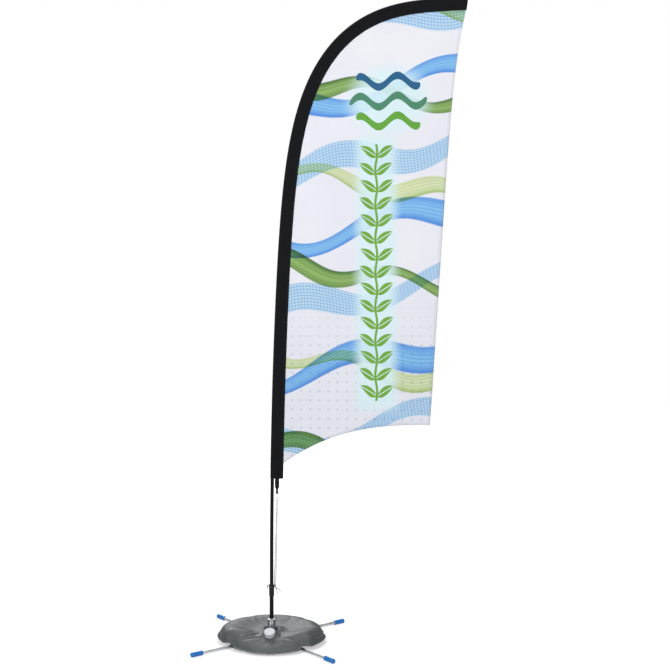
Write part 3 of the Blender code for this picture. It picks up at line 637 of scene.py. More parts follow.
def tubeAlongMast(name, low, high, outer, inner, rim=0.8 * mm, columns=40):
    # A hollow profile, (distance, radius), carried round the mast's line.
    rows = max(2, int((high - low) / (8 * mm)))
    places = np.linspace(low + rim, high - rim, rows)
    outside = np.stack([places, 0 * places + outer], axis=-1)
    inside = np.stack([places[::-1], 0 * places + inner], axis=-1)
    top = [(high - rim * 0.3, outer - rim * 0.1), (high, outer - rim * 0.6), (high, inner)]
    bottom = [(low, inner), (low, outer - rim * 0.6), (low + rim * 0.3, outer - rim * 0.1)]
    profile = np.vstack([outside, top, inside, bottom])
    angle = np.linspace(0, turn, columns, endpoint=False)
    distance, radius = profile[:, :1], profile[:, 1:]
    grid = mastPlace(distance, radius * np.cos(angle), radius * np.sin(angle))
    flow = (np.append(pathLength(profile), 1), np.linspace(0, turn * outer, columns + 1))
    return gridPiece(name, grid, anodisedBlack, wrapRows=True, wrapColumns=True, flow=flow)


def makePole():
    start = mastShape["footHigh"] + 0.3 * mm - mastShape["bendStart"]
    pole = tubeAlongMast(
        "poleLower", start, mastShape["firstEnd"], mastShape["poleRadius"], mastShape["poleBore"]
    )
    standsFor(pole, "mast", "pole_black", "pole_section_1")
    low, high = (mastShape[key] - mastShape["bendStart"] for key in ("footLow", "footHigh"))
    foot = tubeAlongMast("footTube", low, high, mastShape["footRadius"], mastShape["footBore"], 1.2 * mm)
    standsFor(foot, "mast", "pole_black", "foot_tube")


collarShape = {
    # radius and height of the outside, from the bottom up
    "outside": [
        (10.2, 190), (10.9, 193), (11.5, 198), (11.5, 202), (11.1, 203.2), (11.1, 204.4), (11.5, 205.6),
        (11.5, 221),
        (11.3, 226), (11.0, 231), (10.7, 235), (9.9, 239.5), (8.9, 242),
    ],
    "poleBore": 8.3,
    "footBore": 9.3,
    "step": 200.6,
    "hook": [
        (9.6, 232.9),
        (11.4, 235),
        (13.2, 236.8),
        (15.0, 237.4),
        (16.7, 236.6),
        (18.1, 234.2),
        (18.6, 230.5),
        (18.75, 226),
        (18.8, 221.2),
    ],
    "hookWidth": 2.15 * mm,
    "hookThickness": 1.65 * mm,
}


def roundedBar(path, side, width, thickness, power=3.2, count=24, ends=4):
    # A superellipse |a/width|^power + |b/thickness|^power = 1 carried along a path, rounded off at both ends.
    along = unit(np.gradient(path, axis=0))
    side = unit(np.broadcast_to(np.asarray(side, float), path.shape))
    out = np.cross(along, side)
    angle = np.linspace(0, turn, count, endpoint=False)
    cosine, sine = np.cos(angle), np.sin(angle)
    a = np.sign(cosine) * np.abs(cosine) ** (2 / power)
    b = np.sign(sine) * np.abs(sine) ** (2 / power)
    scale = roundedEnds(1.0, len(path), ends)[:, None] if ends else np.ones((len(path), 1))
    width, thickness = (
        np.broadcast_to(np.reshape(part, (-1, 1)), (len(path), 1)) for part in (width, thickness)
    )
    ring = (width * scale * a)[..., None] * side[:, None] + (thickness * scale * b)[..., None] * out[:, None]
    return path[:, None] + ring


def makeCollar():
    outside = collarShape["outside"]
    pole, foot, step = (collarShape[key] for key in ("poleBore", "footBore", "step"))
    profile = np.array(
        outside + [(pole, outside[-1][1]), (pole, step), (foot, step), (foot, outside[0][1])]
    ) * mm
    parts = [turnedPiece("collarBody", profile, blackPlastic, 72, 0.35 * mm, hollow=True)]
    outline = np.array(collarShape["hook"]) * mm
    line = evenPath(
        smoothPath(np.stack([outline[:, 0], 0 * outline[:, 0], outline[:, 1]], axis=-1), 0.5 * mm), 0.5 * mm
    )
    for side in (1, -1):
        hook = line * (side, 1, 1)
        parts.append(
            gridPiece(
                "hook",
                roundedBar(hook, (0, 1, 0), collarShape["hookWidth"], collarShape["hookThickness"]),
                blackPlastic,
                wrapColumns=True,
                caps=True,
            )
        )
        # a rib under the hook's root
        web = np.array([(9.0 * side, 0, 222), (10.6 * side, 0, 228), (11.0 * side, 0, 233.2)]) * mm
        parts.append(
            gridPiece(
                "web",
                roundedBar(smoothPath(web, 0.8 * mm), (0, 1, 0), 1.0 * mm, 1.1 * mm),
                blackPlastic,
                wrapColumns=True,
                caps=True,
            )
        )
    for angle in np.arange(6) * turn / 6 + turn / 12:  # short grip ribs below the hooks
        spot = np.array([np.cos(angle), np.sin(angle), 0]) * 11.35 * mm
        rib = spot + np.linspace(207, 219, 15)[:, None] * mm * np.array([0, 0, 1])
        parts.append(
            gridPiece(
                "rib",
                roundedBar(rib, (-np.sin(angle), np.cos(angle), 0), 1.1 * mm, 0.5 * mm, 2.4, 12),
                blackPlastic,
                wrapColumns=True,
                caps=True,
            )
        )
    return standsFor(joined("hookCollar", parts), "mast", "black_plastic", "hook_collar")


makePole()
makeCollar()
print("mast made")


sleeveShape = {
    "bottom": 0.406,
    "radius": 9.2 * mm,
    "seam": 48.5 * mm,  # from the mast's line
    "wall": 0.6 * mm,
    "edge": 0.95 * mm,  # half the gap between the flanks' outsides at the seam
    "slant": 0.148,
    "pucker": 0.55 * mm,
    "puckerPitch": 46 * mm,
    "rowPitch": 6 * mm,
    "stitchPitch": 4.6 * mm,
    "stitchLines": (43.6 * mm, 46.4 * mm),
}


def sleeveSection():
    # Half a circle round the pole, and on each side a straight flank from there to the seam.
    radius, seam, edge = sleeveShape["radius"], sleeveShape["seam"], sleeveShape["edge"]
    touch = np.arccos((radius - edge) / seam)
    bow = np.linspace(touch, turn - touch, 27)
    start = np.array([radius * np.cos(touch), radius * np.sin(touch)])
    share = np.linspace(0, 1, 16)[:, None]
    flank = np.array([seam, edge]) + (start - np.array([seam, edge])) * share
    arc = np.stack([radius * np.cos(bow), radius * np.sin(bow)], axis=-1)
    return np.vstack([flank[:-1], arc, (flank * (1, -1))[-2::-1]])


def sleeveRipple(distance, offset, side):
    # Puckers: sines along the seam, stronger near it and in the hook, shifted from flank to flank.
    near = smoothStep(offset, 6 * mm, sleeveShape["seam"]) * (1 - 0.75 * smoothStep(offset, 40 * mm, 48 * mm))
    phase = turn * distance / sleeveShape["puckerPitch"]
    wave = np.sin(
        phase + 1.4 * np.sin(phase * 0.173) + 0.7 * side
    ) * (0.55 + 0.45 * np.sin(phase * 0.071 + side))
    wave = wave + 0.5 * np.sin(phase * 2.31 + 2.1 * side) * smoothStep(distance, 2.1, 2.6)
    strength = 0.55 + 1.1 * smoothStep(distance, 2.05, 2.5)
    return sleeveShape["pucker"] * near * wave * strength


def makeSleeve():
    section = sleeveSection()
    rows = int((bendLength - sleeveShape["bottom"]) / sleeveShape["rowPitch"])
    distance = np.linspace(sleeveShape["bottom"], bendLength, rows)[:, None]
    offset, across = section[:, 0], section[:, 1]
    side = np.sign(across)
    ripple = sleeveRipple(distance, offset, side) + 0.0 * across
    hem = 0.35 * mm * np.exp(-(((distance - sleeveShape["bottom"] - 14 * mm) / (2.5 * mm)) ** 2)) * -side
    slant = -sleeveShape["slant"] * (offset + sleeveShape["radius"]) * smoothStep(
        distance, bendLength - 40 * mm, bendLength
    )
    grid = mastPlace(
        distance, offset, across + ripple * np.abs(side) + hem * smoothStep(offset, 0, 9 * mm), slant
    )
    walked = pathLength(np.stack([offset, across, 0 * across], axis=-1))
    flow = (np.append(distance[:, 0], bendLength), np.append(walked, walked[-1]))
    sleeve = gridPiece("poleSleeve", grid, blackWeave, flow=flow)
    addAttribute(
        sleeve.data,
        "seamPlace",
        np.stack(
            [
                np.repeat(distance, len(section), axis=1),
                np.tile(offset, (rows, 1)),
                np.tile(across, (rows, 1)),
            ],
            axis=-1,
        ).reshape(-1, 3),
    )
    addModifier(sleeve, "SOLIDIFY", thickness=sleeveShape["wall"], offset=-1, use_even_offset=True)
    standsFor(sleeve, "mast", "black_fabric", "pole_sleeve")
    return sleeve, walked[-1], bendLength - sleeveShape["bottom"]


def makeSleeveTip():
    # A sewn end: rings of the sleeve's section drawn in to a line over the sleeve's mouth.
    section = sleeveSection()
    offset, across = section[:, 0], section[:, 1]
    rings = []
    for out, keep in ((-3, 1.03), (-1, 1.04), (0.3, 1.02), (1.0, 0.9), (1.35, 0.6), (1.45, 0.15)):
        slant = -sleeveShape["slant"] * (offset + sleeveShape["radius"]) + out * mm
        rings.append(mastPlace(bendLength, offset, across * keep * 1.02, slant))
    grid = np.array(rings)
    tip = gridPiece("sleeveTip", grid, blackWeave, wrapColumns=True, caps=True)
    return standsFor(tip, "mast", "black_fabric", "tip_patch")


stitchShape = {"length": 3.1 * mm, "width": 0.42 * mm, "height": 0.28 * mm}


def stitchesAt(name, middle, along, out, material):
    # One small arched thread for each place: 3 rows of 4 points, 3 mm long, lying along the seam.
    along, out = unit(along), unit(out)
    side = np.cross(along, out)
    length, width, height = stitchShape["length"], stitchShape["width"], stitchShape["height"]
    rows = []
    for share, size, rise in ((-0.5, 0.45, -0.5), (-0.22, 1, 0.25), (0.22, 1, 0.25), (0.5, 0.45, -0.5)):
        centre = middle + along * length * share + out * height * rise
        rows.append(
            [
                centre + (side * a * width + out * b * height) * size for a,
                b in ((1, 0), (0, 1), (-1, 0), (0, -1))
            ]
        )
    grids = np.array(rows).transpose(2, 0, 1, 3)
    count = len(grids)
    faces, _, _ = gridFaces(4, 4, False, True)
    faces = np.vstack([faces, [[3, 2, 1, 0], [12, 13, 14, 15]]])
    every = (faces[None] + 16 * np.arange(count)[:, None, None]).reshape(-1, 4)
    mesh = bpy.data.meshes.new(name)
    mesh.from_pydata(grids.reshape(-1, 3).tolist(), [], every.tolist())
    return finishMesh(name, mesh, material, 80)


def makeSleeveStitching():
    distance = np.arange(sleeveShape["bottom"] + 8 * mm, bendLength - 16 * mm, sleeveShape["stitchPitch"])
    section = sleeveSection()
    half = len(section) // 2
    places, alongs, outs = [], [], []
    for line in sleeveShape["stitchLines"]:
        across = np.interp(line, section[:half, 0][::-1], section[:half, 1][::-1])
        for side in (1, -1):
            ripple = sleeveRipple(distance, np.full_like(distance, line), side)
            middle = mastPlace(distance, line, side * across + ripple)
            places.append(middle + np.array([0, side * 0.02 * mm, 0]))
            alongs.append(mastPlace(distance + mm, line) - mastPlace(distance, line))
            outs.append(np.broadcast_to([0.0, side, 0.0], middle.shape))
    stitches = stitchesAt(
        "sleeveStitching", *(np.vstack(part) for part in (places, alongs, outs)), blackThread
    )
    return standsFor(stitches, "mast", "black_fabric")


blackThread = newMaterial("blackThread", (0.012, 0.012, 0.015), 0.55)
poleSleeve, sleeveWidth, sleeveLength = makeSleeve()
sleeveTip = makeSleeveTip()
sleeveStitching = makeSleeveStitching()
print(f"sleeve made, {sleeveWidth:.3f} x {sleeveLength:.3f} m")


bannerShape = {
    "bottom": 0.472,  # along the mast
    "inside": 2.4 * mm,  # how far the cloth runs into the seam
    "corner": (0.687, 0.947),
    "freeSlope": 0.064,
    "rise": 2.65,  # how late the bottom edge drops towards the mast
    "thickness": 0.5 * mm,
    "hem": 11 * mm,
    "billow": 5 * mm,
    "tension": 1.1 * mm,
    "rows": 330,
    "columns": 96,
}

# The printed ground: waves at even steps up the cloth, blue ones that rise and green ones that fall.
# Centre line: z = low + step * number + slope * x + height * sin(turn * (x / length + shift * number)).
waveFamilies = {
    "blueWave": {
        "count": 8,
        "low": 0.56,
        "step": 0.29,
        "slope": 0.20,
        "height": 0.050,
        "length": 0.70,
        "shift": 0.37,
        "half": 0.045,
    },
    "greenWave": {
        "count": 6,
        "low": 0.86,
        "step": 0.40,
        "slope": -0.16,
        "height": 0.038,
        "length": 0.52,
        "shift": 0.61,
        "half": 0.030,
    },
}
waveInks = {
    "blueWave": [
        {
            "inner": (0.20, 0.60, 0.96),
            "edge": (0.01, 0.20, 0.78),
            "edges": (0.6, 0.8),
            "lines": 7,
            "lineShare": 0.4,
        },
        {
            "inner": (0.46, 0.78, 0.95),
            "edge": (0.04, 0.36, 0.78),
            "fill": 0.65,
            "lines": 9,
            "lineShare": 0.6,
            "cross": 14 * mm,
            "crossShare": 0.5,
        },
    ],
    "greenWave": [
        {
            "inner": (0.24, 0.48, 0.03),
            "edge": (0.02, 0.14, 0.01),
            "edges": (0.9, 0.5),
            "lines": 3,
            "lineShare": 0.3,
        },
        {
            "inner": (0.76, 0.87, 0.38),
            "edge": (0.36, 0.56, 0.06),
            "fill": 0.75,
            "edges": (0.2, 0.8),
            "lines": 6,
            "lineShare": 0.4,
        },
    ],
}
plainInk = {
    "fill": 0.9, "edges": (0, 0), "lines": 0, "lineShare": 0.5, "cross": 0, "crossShare": 0.5, "soft": 0.06
}


def wavePlaces(points):
    # For each wave and point: how far across it lies in half-widths, how far along, and 1.
    x, z = points.T
    places = {}
    for family, wave in waveFamilies.items():
        for number in range(wave["count"]):
            angle = turn * (x / wave["length"] + wave["shift"] * number)
            centre = wave["low"] + wave["step"] * number + wave["slope"] * x + wave["height"] * np.sin(angle)
            steepness = wave["slope"] + wave["height"] * turn / wave["length"] * np.cos(angle)
            half = wave["half"] * (1 + 0.35 * np.sin(0.6 * angle + number)) * np.sqrt(1 + steepness**2)
            places[f"{family}{number}"] = np.stack([(z - centre) / half, x, np.ones_like(x)], axis=-1)
    return places


def bannerEdges(rows):  # the seam edge and the free edge, row by row, from the bottom to the tip
    share = np.linspace(0, 1, rows)
    offset = sleeveShape["seam"] - bannerShape["inside"]
    distance = bannerShape["bottom"] + (bendLength - bannerShape["bottom"]) * share
    seam = mastPlace(distance, offset)
    slant = -sleeveShape["slant"] * (sleeveShape["seam"] + sleeveShape["radius"])
    tip = mastPlace(bendLength - 1 * mm, sleeveShape["seam"], 0, slant)
    cornerX, cornerZ = bannerShape["corner"]
    height = tip[2] - cornerZ
    flare = tip[0] - cornerX - bannerShape["freeSlope"] * height
    # Free edge: x = corner + slope * height * share + flare * share^8
    free = np.stack(
        [
            cornerX + bannerShape["freeSlope"] * height * share + flare * share**8,
            0 * share,
            cornerZ + height * share,
        ],
        axis=-1,
    )
    seam = seam + (tip - seam[-1]) * smoothStep(share, 0.985, 1)[:, None]
    return seam, free


def bannerGrid():
    rows, columns = bannerShape["rows"], bannerShape["columns"]
    seam, free = bannerEdges(rows)
    u, v = np.linspace(0, 1, columns)[None, :, None], np.linspace(0, 1, rows)[:, None, None]
    straight = seam[:, None] + (free - seam)[:, None] * u
    start, end = seam[0], free[0]
    share = u[0, :, 0]
    bottom = np.stack(
        [
            start[0] + (end[0] - start[0]) * share,
            0 * share,
            end[2] - (end[2] - start[2]) * (1 - share) ** bannerShape["rise"],
        ],
        axis=-1,
    )
    grid = straight + (bottom - straight[0])[None] * (1 - v) ** 2
    return grid, u[..., 0], v[..., 0]


def makeBanner():
    grid, u, v = bannerGrid()
    rows, columns = grid.shape[:2]
    width = np.linalg.norm(grid[:, -1] - grid[:, 0], axis=-1)[:, None]
    fromSeam, fromFree = u * width, (1 - u) * width
    up = np.linalg.norm(np.diff(grid, axis=0, prepend=grid[:1]), axis=-1).cumsum(axis=0)
    slack = np.sin(np.pi * u) * np.sin(np.pi * v) ** 0.7
    billow = bannerShape["billow"] * slack * (
        0.7 * np.sin(turn * (0.9 * v + 0.55 * u)) + 0.5 * np.sin(turn * (1.7 * v - 1.1 * u) + 1.2)
    )
    reach = np.exp(-fromSeam / 0.075) * smoothStep(fromSeam, 0, 12 * mm)
    puckers = bannerShape["tension"] * reach * np.sin(turn * up / 0.071 + 1.5 * np.sin(up * 9))
    slope = grid[..., 2] - grid[..., 0] * 0.55  # tension lines that rise from the strap's corner
    drag = 0.9 * mm * np.exp(
        -((up / 0.32) ** 2)
    ) * smoothStep(fromSeam, 0, 0.05) * smoothStep(fromFree, 0, 0.1) * np.sin(turn * slope / 0.085)
    grid[..., 1] += billow + puckers + drag
    flow = (np.append(up[:, 0], up[-1, 0]), np.append(u[0] * width.max(), width.max()))
    banner = gridPiece("banner", grid, flow=flow)
    flat = grid.reshape(-1, 3)[:, ::2]
    for name, places in wavePlaces(flat).items():
        addAttribute(banner.data, name, places)
    edges = np.stack([np.broadcast_to(part, (rows, columns)) for part in (fromSeam, fromFree, up)], axis=-1)
    addAttribute(banner.data, "edges", edges.reshape(-1, 3))
    hem = banner.vertex_groups.new(name="hem")
    nearEdge = np.minimum(fromFree, up).ravel()
    for index in np.nonzero(nearEdge < bannerShape["hem"])[0].tolist():
        hem.add([index], 1.0, "REPLACE")
    addModifier(
        banner,
        "SOLIDIFY",
        thickness=2 * bannerShape["thickness"],
        offset=0,
        vertex_group="hem",
        thickness_vertex_group=0.5,
        use_even_offset=True,
    )
    standsFor(banner, "mast", "banner_fabric", "banner_panel")
    corners = [grid[:-1, :-1], grid[:-1, 1:], grid[1:, 1:], grid[1:, :-1]]
    area = 0.5 * np.linalg.norm(np.cross(corners[2] - corners[0], corners[3] - corners[1]), axis=-1).sum()
    low, high = flat.min(axis=0), flat.max(axis=0)
    return banner, (high - low), area


def leafMask(tree, x, z, leaf):
    # A stem with leaves in pairs. In its own cell a leaf spans |side| < width * sin(pi * share) about a
    # slanting line.
    steps = calc(tree, "DIVIDE", calc(tree, "SUBTRACT", z, leaf["low"]), leaf["pitch"])
    up = calc(tree, "FRACT", steps)
    stem = calc(
        tree,
        "MULTIPLY_ADD",
        calc(tree, "SINE", calc(tree, "MULTIPLY", steps, np.pi)),
        leaf["sway"],
        leaf["x"],
    )
    out = calc(tree, "ABSOLUTE", calc(tree, "SUBTRACT", x, stem))
    share = calc(tree, "DIVIDE", out, leaf["length"])
    rise = calc(tree, "MULTIPLY", calc(tree, "SUBTRACT", up, 0.28), leaf["pitch"])
    lean = calc(tree, "MULTIPLY_ADD", out, -leaf["lean"], rise)
    bulge = calc(
        tree,
        "SINE",
        calc(tree, "MULTIPLY", calc(tree, "POWER", calc(tree, "MAXIMUM", share, 0.0), 0.8), np.pi),
    )
    gap = calc(tree, "SUBTRACT", calc(tree, "MULTIPLY", bulge, leaf["width"]), calc(tree, "ABSOLUTE", lean))
    blade = ranged(tree, gap, -0.6 * mm, 0.6 * mm)
    inside = calc(
        tree, "MULTIPLY", calc(tree, "GREATER_THAN", share, 0.03), calc(tree, "LESS_THAN", share, 1.0)
    )
    blade = calc(tree, "MULTIPLY", blade, inside)
    rib = ranged(tree, calc(tree, "ABSOLUTE", lean), 1.6 * mm, 2.6 * mm)
    blade = calc(tree, "MULTIPLY", blade, rib)
    line = ranged(
        tree,
        calc(tree, "ABSOLUTE", calc(tree, "SUBTRACT", x, stem)),
        leaf["stem"] + 0.5 * mm,
        leaf["stem"] - 0.5 * mm,
    )
    whole = calc(tree, "MAXIMUM", blade, line)
    span = ranged(
        tree,
        calc(tree, "ABSOLUTE", calc(tree, "SUBTRACT", z, leaf["middle"])),
        leaf["half"] + 1 * mm,
        leaf["half"] - 1 * mm,
    )
    return calc(tree, "MULTIPLY", whole, span)


leaves = {
    "x": 0.457,
    "low": 1.050,
    "pitch": 0.074,
    "sway": 0.004,
    "length": 0.074,
    "width": 0.021,
    "lean": 0.62,
    "stem": 5 * mm,
    "middle": 1.605,
    "half": 0.555,
}
waves = {"x": 0.508, "z": 2.345, "reach": 0.150, "pitch": 0.086, "height": 0.024, "thick": 0.0165}


def waveMask(tree, x, z):  # three level wavy bars with rounded ends, one above another
    across = calc(tree, "SUBTRACT", x, waves["x"])
    swing = calc(
        tree, "MULTIPLY", calc(tree, "SINE", calc(tree, "MULTIPLY", across, turn / 0.16)), waves["height"]
    )
    height = calc(tree, "SUBTRACT", calc(tree, "SUBTRACT", z, waves["z"]), swing)
    row = calc(tree, "ROUND", calc(tree, "DIVIDE", height, waves["pitch"]))
    row = calc(tree, "MINIMUM", calc(tree, "MAXIMUM", row, -1.0), 1.0)
    off = calc(tree, "SUBTRACT", height, calc(tree, "MULTIPLY", row, waves["pitch"]))
    reach = calc(tree, "MULTIPLY_ADD", calc(tree, "ABSOLUTE", row), -0.028, waves["reach"])
    past = calc(tree, "MAXIMUM", calc(tree, "SUBTRACT", calc(tree, "ABSOLUTE", across), reach), 0.0)
    gap = calc(
        tree, "SQRT", calc(tree, "ADD", calc(tree, "MULTIPLY", off, off), calc(tree, "MULTIPLY", past, past))
    )
    return ranged(tree, gap, waves["thick"] + 0.6 * mm, waves["thick"] - 0.6 * mm), row


def inkedWave(tree, name, ink, ground):
    # Ink = fill, or more where an edge or a line is. Inks multiply, so waves darken where they cross.
    split = addNode(
        tree, "SeparateXYZ", {0: addNode(tree, "Attribute", attribute_name=name).outputs["Vector"]}
    )
    across, along = split.outputs[:2]
    body = ranged(tree, calc(tree, "ABSOLUTE", across), 1.03, 0.97 - ink["soft"])
    marks = []
    for strength, ends in zip(ink["edges"], ((0.15, 1.0), (-0.15, -1.0))):
        if strength:
            marks.append(ranged(tree, across, *ends, 0, strength, smooth=True))
    lines = calc(tree, "SINE", calc(tree, "MULTIPLY", across, ink["lines"] * np.pi))
    marks.append(ranged(tree, lines, 0.1, 0.9, 0, ink["lineShare"]))
    if ink["cross"]:
        lean = calc(tree, "MULTIPLY_ADD", across, 2.4, calc(tree, "MULTIPLY", along, turn / ink["cross"]))
        marks.append(ranged(tree, calc(tree, "SINE", lean), 0.1, 0.9, 0, ink["crossShare"]))
    shade = marks[0]
    for mark in marks[1:]:
        shade = calc(tree, "MAXIMUM", shade, mark)
    tint = mixed(tree, shade, ink["inner"], ink["edge"])
    strength = calc(tree, "MULTIPLY_ADD", shade, 1 - ink["fill"], ink["fill"])
    return mixed(tree, calc(tree, "MULTIPLY", body, strength), ground, tint, "MULTIPLY")


def roundMask(tree, x, z, centre, radii, soft=0.5):  # 1 inside an ellipse, falling to 0 at its edge
    parts = []
    for value, middle, radius in zip((x, z), centre, radii):
        part = calc(tree, "DIVIDE", calc(tree, "SUBTRACT", value, middle), radius)
        parts.append(calc(tree, "MULTIPLY", part, part))
    return ranged(tree, calc(tree, "SQRT", calc(tree, "ADD", *parts)), 1.0, 1.0 - soft, smooth=True)


def bannerMaterial():
    material = newMaterial("printedBanner", (0.85, 0.85, 0.92), 0.68)
    tree = material.node_tree
    shader = tree.nodes["Principled BSDF"]
    shader.inputs["Sheen Weight"].default_value = 0.12
    shader.inputs["Sheen Roughness"].default_value = 0.5
    spot = addNode(tree, "SeparateXYZ", {0: addNode(tree, "TexCoord").outputs["Object"]})
    x, z = spot.outputs[0], spot.outputs[2]
    place = objectPlace(tree)

    cloud = noise(tree, place, 2.2, 2)
    ground = mixed(tree, ranged(tree, cloud, 0.35, 0.65), (0.84, 0.85, 0.93), (0.90, 0.90, 0.95))
    lowerPart = ranged(tree, z, 1.75, 1.1, smooth=True)
    ground = mixed(tree, calc(tree, "MULTIPLY", lowerPart, 0.6), ground, (0.77, 0.79, 0.87))

    # dots in the lower half
    dots = []
    for value in (x, z):
        dots.append(calc(tree, "SINE", calc(tree, "MULTIPLY", value, turn / 0.040)))
    dot = ranged(tree, calc(tree, "ADD", *dots), 1.55, 1.75)
    dotShare = calc(
        tree, "MULTIPLY", dot, calc(tree, "MULTIPLY", ranged(tree, z, 1.55, 1.2, smooth=True), 0.45)
    )
    ground = mixed(tree, dotShare, ground, (0.46, 0.50, 0.66))

    for family, inks in waveInks.items():
        for number in range(waveFamilies[family]["count"]):
            ground = inkedWave(tree, f"{family}{number}", {**plainInk, **inks[number % len(inks)]}, ground)

    # a pale glow behind the leaves and the waves, then the marks themselves
    fromStem = calc(tree, "ABSOLUTE", calc(tree, "SUBTRACT", x, leaves["x"]))
    pastEnd = calc(
        tree, "SUBTRACT", calc(tree, "ABSOLUTE", calc(tree, "SUBTRACT", z, leaves["middle"])), leaves["half"]
    )
    column = calc(
        tree,
        "MULTIPLY",
        ranged(tree, fromStem, 0.115, 0.05, smooth=True),
        ranged(tree, pastEnd, 0.07, 0.0, smooth=True),
    )
    disc = roundMask(tree, x, z, (waves["x"], waves["z"]), (0.215, 0.19), 0.5)
    glow = calc(tree, "MAXIMUM", column, disc)
    ground = mixed(tree, calc(tree, "MULTIPLY", glow, 0.86), ground, (0.72, 0.93, 0.97))
    leaf = leafMask(tree, x, z, leaves)
    leafTint = mixed(tree, noise(tree, place, 26, 2), (0.14, 0.38, 0.02), (0.19, 0.46, 0.03))
    ground = mixed(tree, leaf, ground, leafTint)
    wave, row = waveMask(tree, x, z)
    waveTint = mixed(tree, ranged(tree, row, -1, 1), (0.12, 0.40, 0.03), (0.0, 0.11, 0.26))
    ground = mixed(tree, wave, ground, waveTint)

    # hems: a doubled edge, a little darker, and a dark line at its inner edge: painted shade in the fold's
    # crease, together with its line of stitches
    edges = addNode(
        tree, "SeparateXYZ", {0: addNode(tree, "Attribute", attribute_name="edges").outputs["Vector"]}
    )
    fromEdge = calc(tree, "MINIMUM", edges.outputs[1], edges.outputs[2])
    fold = ranged(tree, fromEdge, bannerShape["hem"] + 0.4 * mm, bannerShape["hem"] - 0.4 * mm)
    ground = mixed(tree, calc(tree, "MULTIPLY", fold, 0.12), ground, (0.30, 0.32, 0.38))
    # painted shade in the crease at the hem's inner edge, drawn as one dark line with the stitching
    crease = ranged(
        tree, calc(tree, "ABSOLUTE", calc(tree, "SUBTRACT", fromEdge, bannerShape["hem"])), 0.9 * mm, 0.2 * mm
    )
    ground = mixed(tree, calc(tree, "MULTIPLY", crease, 0.3), ground, (0.25, 0.27, 0.33))

    # knitted polyester: small staggered loops, and slow variation in gloss
    knit = []
    for value, pitch in ((x, 1.5 * mm), (z, 1.2 * mm)):
        knit.append(calc(tree, "SINE", calc(tree, "MULTIPLY", value, turn / pitch)))
    loops = ranged(tree, calc(tree, "MULTIPLY", *knit), -1, 1)
    ground = mixed(tree, calc(tree, "MULTIPLY", loops, 0.06), ground, (0.2, 0.22, 0.28))
    gloss = ranged(tree, noise(tree, place, 14), 0.3, 0.7, 0.62, 0.76)
    return finishShader(material, ground, gloss, loops, 0.22, 0.0003)


printedBanner = bannerMaterial()
banner, bannerSize, bannerArea = makeBanner()
banner.data.materials.append(printedBanner)
print(f"banner made, {bannerArea:.3f} square metres")


strapShape = {
    "x": 24 * mm,
    "top": 0.735,
    "narrow": 0.656,
    "wide": 0.672,
    "halfWidth": 9.8 * mm,
    "halfLoop": 4.9 * mm,
    "ply": 1.05 * mm,
    "loopHeight": 0.6417,
    "loopRadius": 3.35 * mm,
    "ringHeight": 0.633,
    "ringRadius": 9.5 * mm,
    "ringWire": 1.4 * mm,
}


def makeStrap():
    # One length of webbing: down the front, round the ring's wire, and up the back, narrowed at the loop.
    ply, loop, radius = strapShape["ply"], strapShape["loopHeight"], strapShape["loopRadius"]
    angle = np.linspace(np.radians(-150), np.radians(150), 25) - np.pi / 2
    bow = np.stack([radius * np.cos(angle), loop + radius * np.sin(angle)], axis=-1)[::-1]
    front = np.array([(-ply * 0.58, z) for z in np.linspace(strapShape["top"], loop + 9 * mm, 30)])
    line = np.vstack([front, bow * (1, 1), front[::-1] * (-1, 1)])
    line[:, 0] = np.where(np.arange(len(line)) < len(line) / 2, -np.abs(line[:, 0]), np.abs(line[:, 0]))
    path = evenPath(np.stack([0 * line[:, 0] + strapShape["x"], line[:, 0], line[:, 1]], axis=-1), 1.2 * mm)
    share = smoothStep(path[:, 2], strapShape["narrow"], strapShape["wide"])
    width = strapShape["halfLoop"] + (strapShape["halfWidth"] - strapShape["halfLoop"]) * share
    grid = roundedBar(path, (1, 0, 0), width, ply / 2, 6, 28, 0)
    walked = pathLength(path)
    flow = (walked, np.linspace(0, 4 * strapShape["halfWidth"], 29))
    strap = gridPiece("tensionStrap", grid, blackWebbing, wrapColumns=True, caps=True, flow=flow)
    return standsFor(strap, "mast", "black_fabric", "tension_strap")


def makeStrapStitching():
    # Two bars of close zigzag stitches across the strap, and a row along each of its edges.
    reach = strapShape["halfWidth"] - 1.8 * mm
    places, alongs = [], []
    for height in (0.6765, 0.6995):
        for across in np.arange(-reach, reach, 1.0 * mm):
            places.append((across, height))
            alongs.append((0.35, 0, 1.0))
    for side in (-1, 1):
        for height in np.arange(0.6765, 0.6995, 3.6 * mm):
            places.append((side * reach, height + 1.8 * mm))
            alongs.append((0, 0, 1.0))
    places, alongs = np.array(places), np.array(alongs, float)
    front = []
    for side in (-1, 1):
        front.append(
            np.stack(
                [places[:, 0] + strapShape["x"], 0 * places[:, 0] + side * 1.14 * mm, places[:, 1]], axis=-1
            )
        )
    outs = np.repeat([[0.0, -1.0, 0.0], [0.0, 1.0, 0.0]], len(places), axis=0)
    stitches = stitchesAt("strapStitching", np.vstack(front), np.vstack([alongs, alongs]), outs, greyThread)
    return standsFor(stitches, "mast", "black_fabric")


def makeRing():
    angle = np.linspace(0, turn, 96, endpoint=False)
    radius = strapShape["ringRadius"]
    path = np.stack(
        [
            strapShape["x"] + radius * np.cos(angle),
            0 * angle,
            strapShape["ringHeight"] + radius * np.sin(angle),
        ],
        axis=-1,
    )
    closedPath = np.vstack([path[-2:], path, path[:2]])
    grid = alongPath(closedPath, strapShape["ringWire"], 20, (0, 1, 0))[2:-2]
    ring = gridPiece("strapRing", grid, chromePlate, wrapRows=True, wrapColumns=True)
    return standsFor(ring, "mast", "chrome", "strap_ring")


greyThread = newMaterial("greyThread", (0.05, 0.05, 0.055), 0.6)
makeStrap()
makeStrapStitching()
makeRing()
print("strap and ring made")


